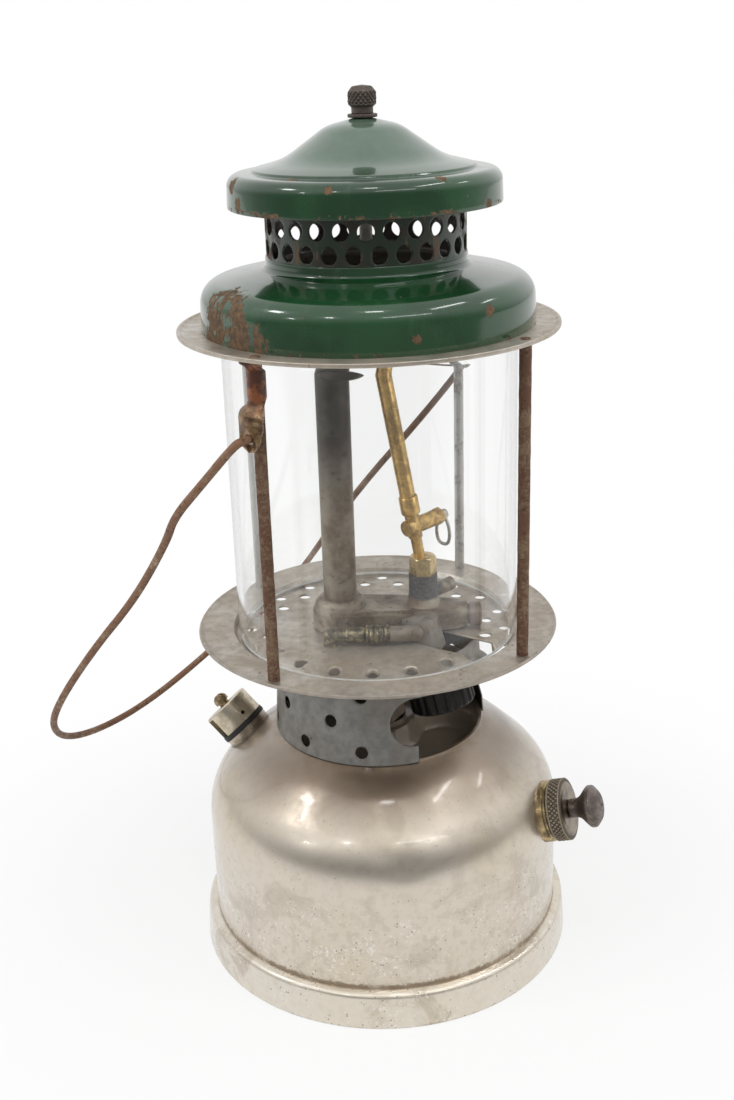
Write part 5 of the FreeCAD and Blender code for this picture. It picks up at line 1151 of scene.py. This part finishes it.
# The lower lobe turns gold: partly rubbed metal, partly a painted highlight.
low = (f.axis("Z") + (patches - 0.5) * 16).between(255.5, 247.0)
rubbed = (patches * 0.7 + f.noise(1.6, 62, 3, 0.65) * 0.3).between(0.42, 0.60)
gold_and_highlight = f.mix(rubbed, (0.130, 0.070, 0.038), (0.36, 0.235, 0.115))
red = f.mix(f.noise(5.0, 63, 2).between(0.46, 0.62), (0.085, 0.030, 0.016), (0.25, 0.080, 0.028))
dark = f.noise(1.3, 64, 4, 0.7).between(0.56, 0.70)
lumps = f.bump(f.noise(3.4, 65, 2, 0.5), 0.35)
finish["bronze ear"] = f.done(
    Base_Color=f.mix(dark * 0.75, f.mix(low, red, gold_and_highlight), (0.035, 0.020, 0.013)),
    Roughness=0.24 + dark * 0.30 + (1 - low) * 0.12, Metallic=0.45 + low * 0.35,
    Normal=f.bump(f.noise(0.7, 66, 3, 0.65), 0.03, lumps))

# %% [markdown]
# ## Burnt castings
# The casting, the mixing tube and the manifold are iron and brass that the flame has oxidised.
# They are grey-brown, matt and coarse.

# %% Burnt metal
RISER_TOP = (19.2, -1.5, 165.0)
# The second colour on the next line is painted shade from the hood.
GRIT, HOOD_SHADE_BLACK = (0.42, 0.38, 0.31), (0.026, 0.025, 0.025)
BLUE_BLACK, BLUE_GREY = (0.060, 0.064, 0.076), (0.135, 0.130, 0.125)


def burnt(name, ash, brown, dark, metallic=0.45, rough=0.52, grain=1.0, depth=0.16, riser=0.0,
          hood_shade_from=0.0):
    """Oxidised metal: ash-grey on the high places, brown and dark in clouds.

    A riser near RISER_TOP can be blued, and the metal can darken upwards from a height as painted
    shade."""
    f = Finish(name)
    cloud = f.noise(11, 61, 4, 0.62).between(0.36, 0.66)
    soot = f.noise(3.4, 62, 5, 0.7).between(0.54, 0.70)
    grit = f.noise(grain, 63, 4, 0.65)
    colour = f.mix(soot * 0.75, f.mix(cloud, ash, brown), dark)
    colour = f.mix(grit.between(0.60, 0.72) * 0.4, colour, GRIT)
    # Painted shade: darker upwards, as under the hood's shadow.
    if hood_shade_from:
        hood_shade = f.axis("Z").between(hood_shade_from, hood_shade_from + 50)
        colour = f.mix(hood_shade * 0.8, colour, HOOD_SHADE_BLACK)
    if riser:
        blued = f.mix(grit.between(0.40, 0.66), BLUE_BLACK, BLUE_GREY)
        colour = f.mix(f.near(RISER_TOP, 11.5, 0.03) * riser, colour, blued)
    return f.done(Base_Color=colour, Roughness=rough + soot * 0.2 + (grit - 0.5) * 0.15,
                  Metallic=metallic - soot * metallic * 0.6, Normal=f.bump(grit, depth))


finish["casting"] = burnt("casting_iron", (0.32, 0.275, 0.213), (0.150, 0.108, 0.073),
                          (0.045, 0.034, 0.027), 0.35, 0.42, riser=0.9)
# Above 182 mm the tube and burner get painted shade from the hood.
finish["mixing tube"] = burnt("tube_iron", (0.30, 0.258, 0.204), (0.172, 0.126, 0.086),
                              (0.065, 0.048, 0.036), 0.5, 0.40, 0.8, hood_shade_from=182.0)
finish["manifold"] = burnt("bonnet_iron", (0.26, 0.235, 0.195), (0.165, 0.125, 0.09),
                           (0.050, 0.038, 0.030))
finish["column"] = burnt("column_steel", (0.36, 0.33, 0.29), (0.22, 0.18, 0.145),
                         (0.07, 0.055, 0.045), 0.6, 0.40, 0.8, 0.06)
finish["plug"] = burnt("plug_iron", (0.30, 0.26, 0.23), (0.20, 0.155, 0.13),
                       (0.065, 0.050, 0.042), 0.4, 0.40)

# %% [markdown]
# ## Brass and copper
# Fittings that are handled stay yellow; the rest have tarnished to a brownish olive.  The mask
# follows noise at two sizes, and the roughness rises with the tarnish.

# %% Brass
def brass(name, clean, tarnish, low=0.42, high=0.64, rough=0.26, size=5.0, depth=0.04):
    """Brass with tarnish that begins between two noise levels."""
    f = Finish(name)
    mask = f.noise(size, 71, 4, 0.6) * 0.7 + f.noise(size * 0.25, 72, 3, 0.6) * 0.3
    mask = mask.between(low, high)
    dark = f.noise(size * 0.5, 73, 5, 0.7).between(0.60, 0.72)
    colour = f.mix(dark * 0.7, f.mix(mask, clean, tarnish), (0.075, 0.050, 0.028))
    return f.done(Base_Color=colour, Roughness=rough + mask * 0.18 + dark * 0.2,
                  Metallic=1 - mask * 0.25 - dark * 0.4,
                  Normal=f.bump(f.noise(0.7, 74, 3, 0.6), depth))


for look, settings in {
        "brass": ("raw_brass", (0.72, 0.56, 0.30), (0.40, 0.30, 0.155)),
        "dull brass": ("dull_brass", (0.74, 0.50, 0.205), (0.38, 0.255, 0.115), 0.38, 0.62, 0.32),
        "pale brass": ("pale_brass", (0.58, 0.45, 0.24), (0.20, 0.15, 0.085), 0.38, 0.62, 0.30),
        "brown brass": ("brown_brass", (0.50, 0.385, 0.23), (0.19, 0.135, 0.08),
                        0.38, 0.60, 0.30, 3.0),
        "knob": ("knob_brass", (0.24, 0.205, 0.185), (0.115, 0.090, 0.078),
                 0.38, 0.62, 0.34, 6.0, 0.06),
        "cap": ("cap_nickel", (0.70, 0.63, 0.50), (0.50, 0.42, 0.29), 0.42, 0.70, 0.30, 6.0),
        "olive": ("line_brass", (0.34, 0.29, 0.185), (0.090, 0.080, 0.062),
                  0.38, 0.58, 0.34, 3.0)}.items():
    finish[look] = brass(*settings)

# %% [markdown]
# ## The pump cap's dark knurl
# Grease and dirt fill the knurl, so its valleys are black and its crests dull.  The mask is the
# distance from the pump's own axis: only the rim beyond the pale face is dark.

# %% Knurled cap
f = Finish("pump_cap_finish")
away = f.vector("SUBTRACT", f.place, tuple(PUMP_SEAT))
along = f.vector("DOT_PRODUCT", away, tuple(PUMP_AXIS), output=1)
length = f.vector("LENGTH", away, output=1)
across = (length * length - along * along).math("SQRT")
face = across.between(CAP_R - 1.3, CAP_R - 2.2)
crest = across.between(CAP_R - 0.40, CAP_R - 0.05) * 0.35
worn = f.noise(2.4, 81, 4, 0.6)
rim_colour = f.mix(crest * worn * 2.2, (0.11, 0.088, 0.064), (0.60, 0.51, 0.38))
face_colour = f.mix(f.noise(5, 82, 4).between(0.4, 0.66), (0.30, 0.24, 0.18), (0.13, 0.10, 0.075))
finish["pump cap"] = f.done(Base_Color=f.mix(face, rim_colour, face_colour),
                            Roughness=0.55 - face * 0.25, Metallic=0.5 + face * 0.45,
                            Normal=f.bump(worn, 0.05))

# %% [markdown]
# ## Black composition, rubber and leather
# The wheel is moulded composition: black, slightly brown, dull, with a soft shine on the crests.

# %% Dark soft materials
def plain(name, colour, other, rough, size=4.0, **fixed):
    """One dull material that drifts between two colours."""
    f = Finish(name, **fixed)
    drift = f.noise(size, 91, 4, 0.62)
    fine = f.noise(size * 0.2, 92, 3, 0.6)
    return f.done(Base_Color=f.mix(drift.between(0.35, 0.68), colour, other),
                  Roughness=rough + (drift - 0.5) * 0.2, Normal=f.bump(fine, 0.05))


finish["wheel"] = plain("wheel_composition", (0.0100, 0.0085, 0.0080), (0.020, 0.016, 0.014),
                        0.40, Specular_IOR_Level=0.28)
finish["rubber"] = plain("gasket_rubber", (0.014, 0.014, 0.014), (0.022, 0.021, 0.020), 0.62, 3.0)
finish["leather"] = plain("pump_leather_finish", (0.11, 0.055, 0.025), (0.07, 0.035, 0.018),
                          0.65, 3.0)

# %% [markdown]
# ## Clear glass
# The globe is plain heat-resisting glass.  It has almost no colour of its own: the edges look dark
# or bright because they bend in what lies beside them.  A trace of handling film lifts the roughness
# in smears.  A thin band at each end of the tube is pale, rough glass: a painted highlight in place
# of the glints on the rims.

# %% Glass
GLASS_IOR = 1.47
f = Finish("clear_glass_finish", Transmission_Weight=1.0, IOR=GLASS_IOR,
           Base_Color=(0.985, 0.99, 0.985, 1.0))
smear = f.noise(26, 95, 4, 0.6, (1, 1, 0.5)).between(0.50, 0.80)
finish["glass"] = f.done(Roughness=smear * 0.004)

# %% Rim highlight
f = Finish("ground_edge_finish", Transmission_Weight=0.45, IOR=GLASS_IOR)
ground = f.noise(3, 96, 3).between(0.3, 0.7)
finish["ground edge"] = f.done(Base_Color=f.mix(ground, (0.80, 0.82, 0.80), (0.94, 0.95, 0.94)),
                               Roughness=0.30 + f.noise(1.2, 97, 3) * 0.2)

# %% [markdown]
# ## Which piece gets which finish
# The table below dresses the new skins, and the nodes that keep the model's own mesh.

# %% Dress every piece
FINISHES = {
    "fount": ["fount_shell"], "foot": ["foot_band"], "nickel": ["valve_bung", "filler_bung"],
    "dome": ["hood_dome"], "hat": ["hood_hat"], "neck": ["hood_neck"],
    "collar": ["collar"], "plate": ["frame_plate"], "ring": ["top_ring"],
    "bail": ["bail"], "rusty post": ["post_front_left", "post_front_right"],
    "grey post": ["post_back_left", "post_back_right"],
    "bronze ear": ["bail_ear_front"], "grey ear": ["bail_ear_back"],
    "small steel": ["casting_screws", "centre_stud", "cleaner_lever", "cleaning_needle",
                    "pump_leather_washer", "pump_rod", "valve_needle", "valve_stem"],
    "dark nut": ["ball_nut", "nut_washer"], "casting": ["burner_casting"],
    "mixing tube": ["mixing_tube", "burner_manifold", "burner_cap_front", "burner_cap_back"],
    "manifold": ["valve_bonnet", "valve_spigot"],
    "column": ["fuel_column", "vaporiser_tube"], "plug": ["cleanout_plug"],
    "brass": ["coupling_nut", "gas_tip", "fount_bottom", "pump_barrel", "pump_check_valve",
              "pickup_strainer", "fuel_pickup_tube"],
    "brown brass": ["filler_vent_screw"],
    "dull brass": ["generator_tube", "generator_head", "generator_sleeve", "cleaner_block",
                   "cleaner_gland_nut"],
    "pale brass": ["pump_bung"], "cap": ["filler_cap"],
    "knob": ["pump_knob"], "olive": ["line_elbow", "line_packing_nut"], "pump cap": ["pump_cap"],
    "wheel": ["valve_wheel"], "rubber": ["filler_gasket"], "leather": ["pump_leather"],
    "glass": ["globe"]}
for look, nodes in FINISHES.items():
    for node in nodes:
        target = bpy.data.objects.get(SKIN_OF.get(node, "")) or frame["nodes"][node]
        if node in SKIN_OF:
            target.data.materials.clear()
            target.data.materials.append(finish[look])
        else:
            for slot in target.material_slots:
                slot.material = finish[look]
# The pale band at each end is a painted highlight.
globe.data.materials.append(finish["ground edge"])
globe.data.polygons.foreach_set("material_index", rim_highlight_faces)
dressed_nodes = {node for nodes in FINISHES.values() for node in nodes}
print("nodes without a finish:", sorted(set(frame["nodes"]) - dressed_nodes) or "none")

# %% [markdown]
# ## Camera
# The eye stands a little above the hood, about half a metre away: the ring, the plate and the foot
# all open up as ellipses, the lower ones more.  The camera looks down by 20.66 degrees and is rolled
# a little, since the lantern leans in the frame.

# %% Camera
LOOK_DOWN, YAW, ROLL = math.radians(20.66), math.radians(-0.371), math.radians(-1.835)
EYE = (0.0, -0.524586, 0.372589)
ahead = Vector((math.sin(YAW) * math.cos(LOOK_DOWN), math.cos(YAW) * math.cos(LOOK_DOWN),
                -math.sin(LOOK_DOWN)))
right = ahead.cross(Vector((0, 0, 1))).normalized()
up = right.cross(ahead)
right, up = (right * math.cos(ROLL) + up * math.sin(ROLL),
             up * math.cos(ROLL) - right * math.sin(ROLL))
lens = bpy.data.cameras.new("camera")
lens.sensor_fit, lens.sensor_height, lens.lens = "VERTICAL", 36, 44.99
lens.clip_start, lens.clip_end = 0.02, 30
camera = bpy.data.objects.new("camera", lens)
camera.matrix_world = Matrix.Translation(EYE) @ Matrix((right, up, -ahead)).transposed().to_4x4()
bpy.context.scene.collection.objects.link(camera)
bpy.context.scene.camera = camera

# %% [markdown]
# ## Light
# White all round, as in a shop's light tent: a large soft light high on the left and front, one
# from the right, and a white table.  The reflections tell how it was lit: the sides of the fount
# reflect bright panels and its front reflects the darker room round the camera.

# %% World
FILL, ROOM_DARK, ROOM_LIGHT = 0.42, 0.21, 0.90


class Studio(Nodes):
    """A node tree that gives each kind of ray its own light."""

    def ray(self, what):
        """One output of Light Path."""
        return self.add("LightPath", output=what)

    def straight(self):
        """1 for a ray from the eye, also through the glass, that nothing has turned back yet."""
        direct = self.ray("Is Camera Ray").larger(self.ray("Is Transmission Ray"))
        turned = (self.ray("Glossy Depth") + self.ray("Diffuse Depth")).math("MINIMUM", 1.0)
        return direct * (1.0 - turned)

    def white(self, kind, strength):
        """A white Background or Emission of some strength."""
        return self.add(kind, {}, {"Color": (1, 1, 1, 1), "Strength": strength})

    def blend(self, factor, a, b):
        """Shader a where the factor is 0 and b where it is 1."""
        return self.add("MixShader", {}, {0: factor, 1: a, 2: b})


bpy.context.scene.world = bpy.data.worlds.new("studio")
sky = Studio(bpy.context.scene.world)
around = sky.add("TexCoord", output="Generated")
height = (sky.add("SeparateXYZ", {}, {0: around}, "Z") * 1.25
          + sky.add("SeparateXYZ", {}, {0: around}, "Y") * 0.42)
room = height.between(-0.22, 0.62, ROOM_DARK, ROOM_LIGHT)
mirrored = (sky.ray("Is Glossy Ray").larger(sky.ray("Is Transmission Ray"))
            * sky.ray("Diffuse Depth").math("LESS_THAN", 0.5))
light = sky.blend(mirrored, sky.white("Background", FILL), sky.white("Background", room))
light = sky.blend(sky.straight(), light, sky.white("Background", 1.0))
sky.add("OutputWorld", {}, {0: light})

# %% [markdown]
# ## Lamps
# Three softboxes give the shadows their softness and can't be seen in the metal.  The bright
# streaks and spots in the metal are lit tubes in a plane above the lantern.

# %% Lamps
AIM = Vector((0, 0, 0.16))


def lamp(name, place, size, watts, glossy=True):
    """A rectangular lamp that looks at the middle of the lantern."""
    light = bpy.data.lights.new(name, "AREA")
    light.shape, light.energy = "RECTANGLE", watts
    light.size, light.size_y = size
    obj = bpy.data.objects.new(name, light)
    facing = (place - AIM).to_track_quat("Z", "Y").to_matrix().to_4x4()
    obj.matrix_world = Matrix.Translation(place) @ facing
    obj.visible_glossy = glossy
    bpy.context.scene.collection.objects.link(obj)


for name, azimuth, elevation, distance, size, watts in (
        ("left", 205, 24, 1.1, (0.7, 1.1), 4.2),
        ("right", 335, 20, 1.1, (0.6, 1.1), 3.6),
        ("top", 260, 70, 1.2, (1.0, 0.7), 4.5)):
    lamp(name, AIM + Vector(direction(azimuth, elevation)) * distance, size, watts, False)
for name, x, y, length, width, glow in (
        ("row_left", -0.92, -0.20, 0.20, 0.14, 16),
        ("row_middle", 0.05, -0.42, 0.14, 0.07, 16),
        ("row_right", 0.66, -0.16, 0.50, 0.045, 15),
        ("row_end", 1.25, 0.25, 0.30, 0.05, 12),
        ("front_left", -1.50, -1.10, 0.12, 0.08, 26),
        ("front_middle", -0.54, -1.00, 0.10, 0.06, 26),
        ("front_right", 0.55, -1.05, 0.80, 0.035, 14)):
    lamp(name, Vector((x, y, 1.16)), (length, width), glow * math.pi * length * width)

# %% [markdown]
# ## The table
# The table is white and runs out of the view on all sides.  To the camera it shines almost white by
# itself, so that only the soft shadow under the foot is left on it.

# %% The table
TABLE_HALF, NEAR_GLOW, FRONT_GLOW = 4.0, 0.78, 0.92
corners = [(x * TABLE_HALF, y * TABLE_HALF, 0) for x, y in ((-1, -1), (1, -1), (1, 1), (-1, 1))]
table_mesh = bpy.data.meshes.new("table")
table_mesh.from_pydata(corners, [], [(0, 1, 2, 3)])
table = bpy.data.objects.new("table", table_mesh)
bpy.context.scene.collection.objects.link(table)
paper = Studio(bpy.data.materials.new("table_white"))
dull_white = paper.add("BsdfPrincipled", {}, {"Base Color": (0.82, 0.82, 0.82, 1),
                                              "Roughness": 0.6, "Specular IOR Level": 0.1})
place = paper.add("TexCoord", output="Object")
far_off = paper.vector("LENGTH", place, output=1).between(0.10, 0.30, NEAR_GLOW, 1.0)
front = paper.add("SeparateXYZ", {}, {0: place}, "Y").between(-0.26, -0.52, FRONT_GLOW, ROOM_DARK)
seen = paper.straight()
mirrored = ((paper.ray("Is Glossy Ray") - seen) * 0.85).larger(0.0)
light = paper.blend(seen * far_off, dull_white, paper.white("Emission", 1.0))
light = paper.blend(mirrored, light, paper.white("Emission", front))
paper.add("OutputMaterial", {}, {0: light})
table_mesh.materials.append(paper.owner)

# %% Finish
bpy.context.scene.view_settings.view_transform = "Standard"
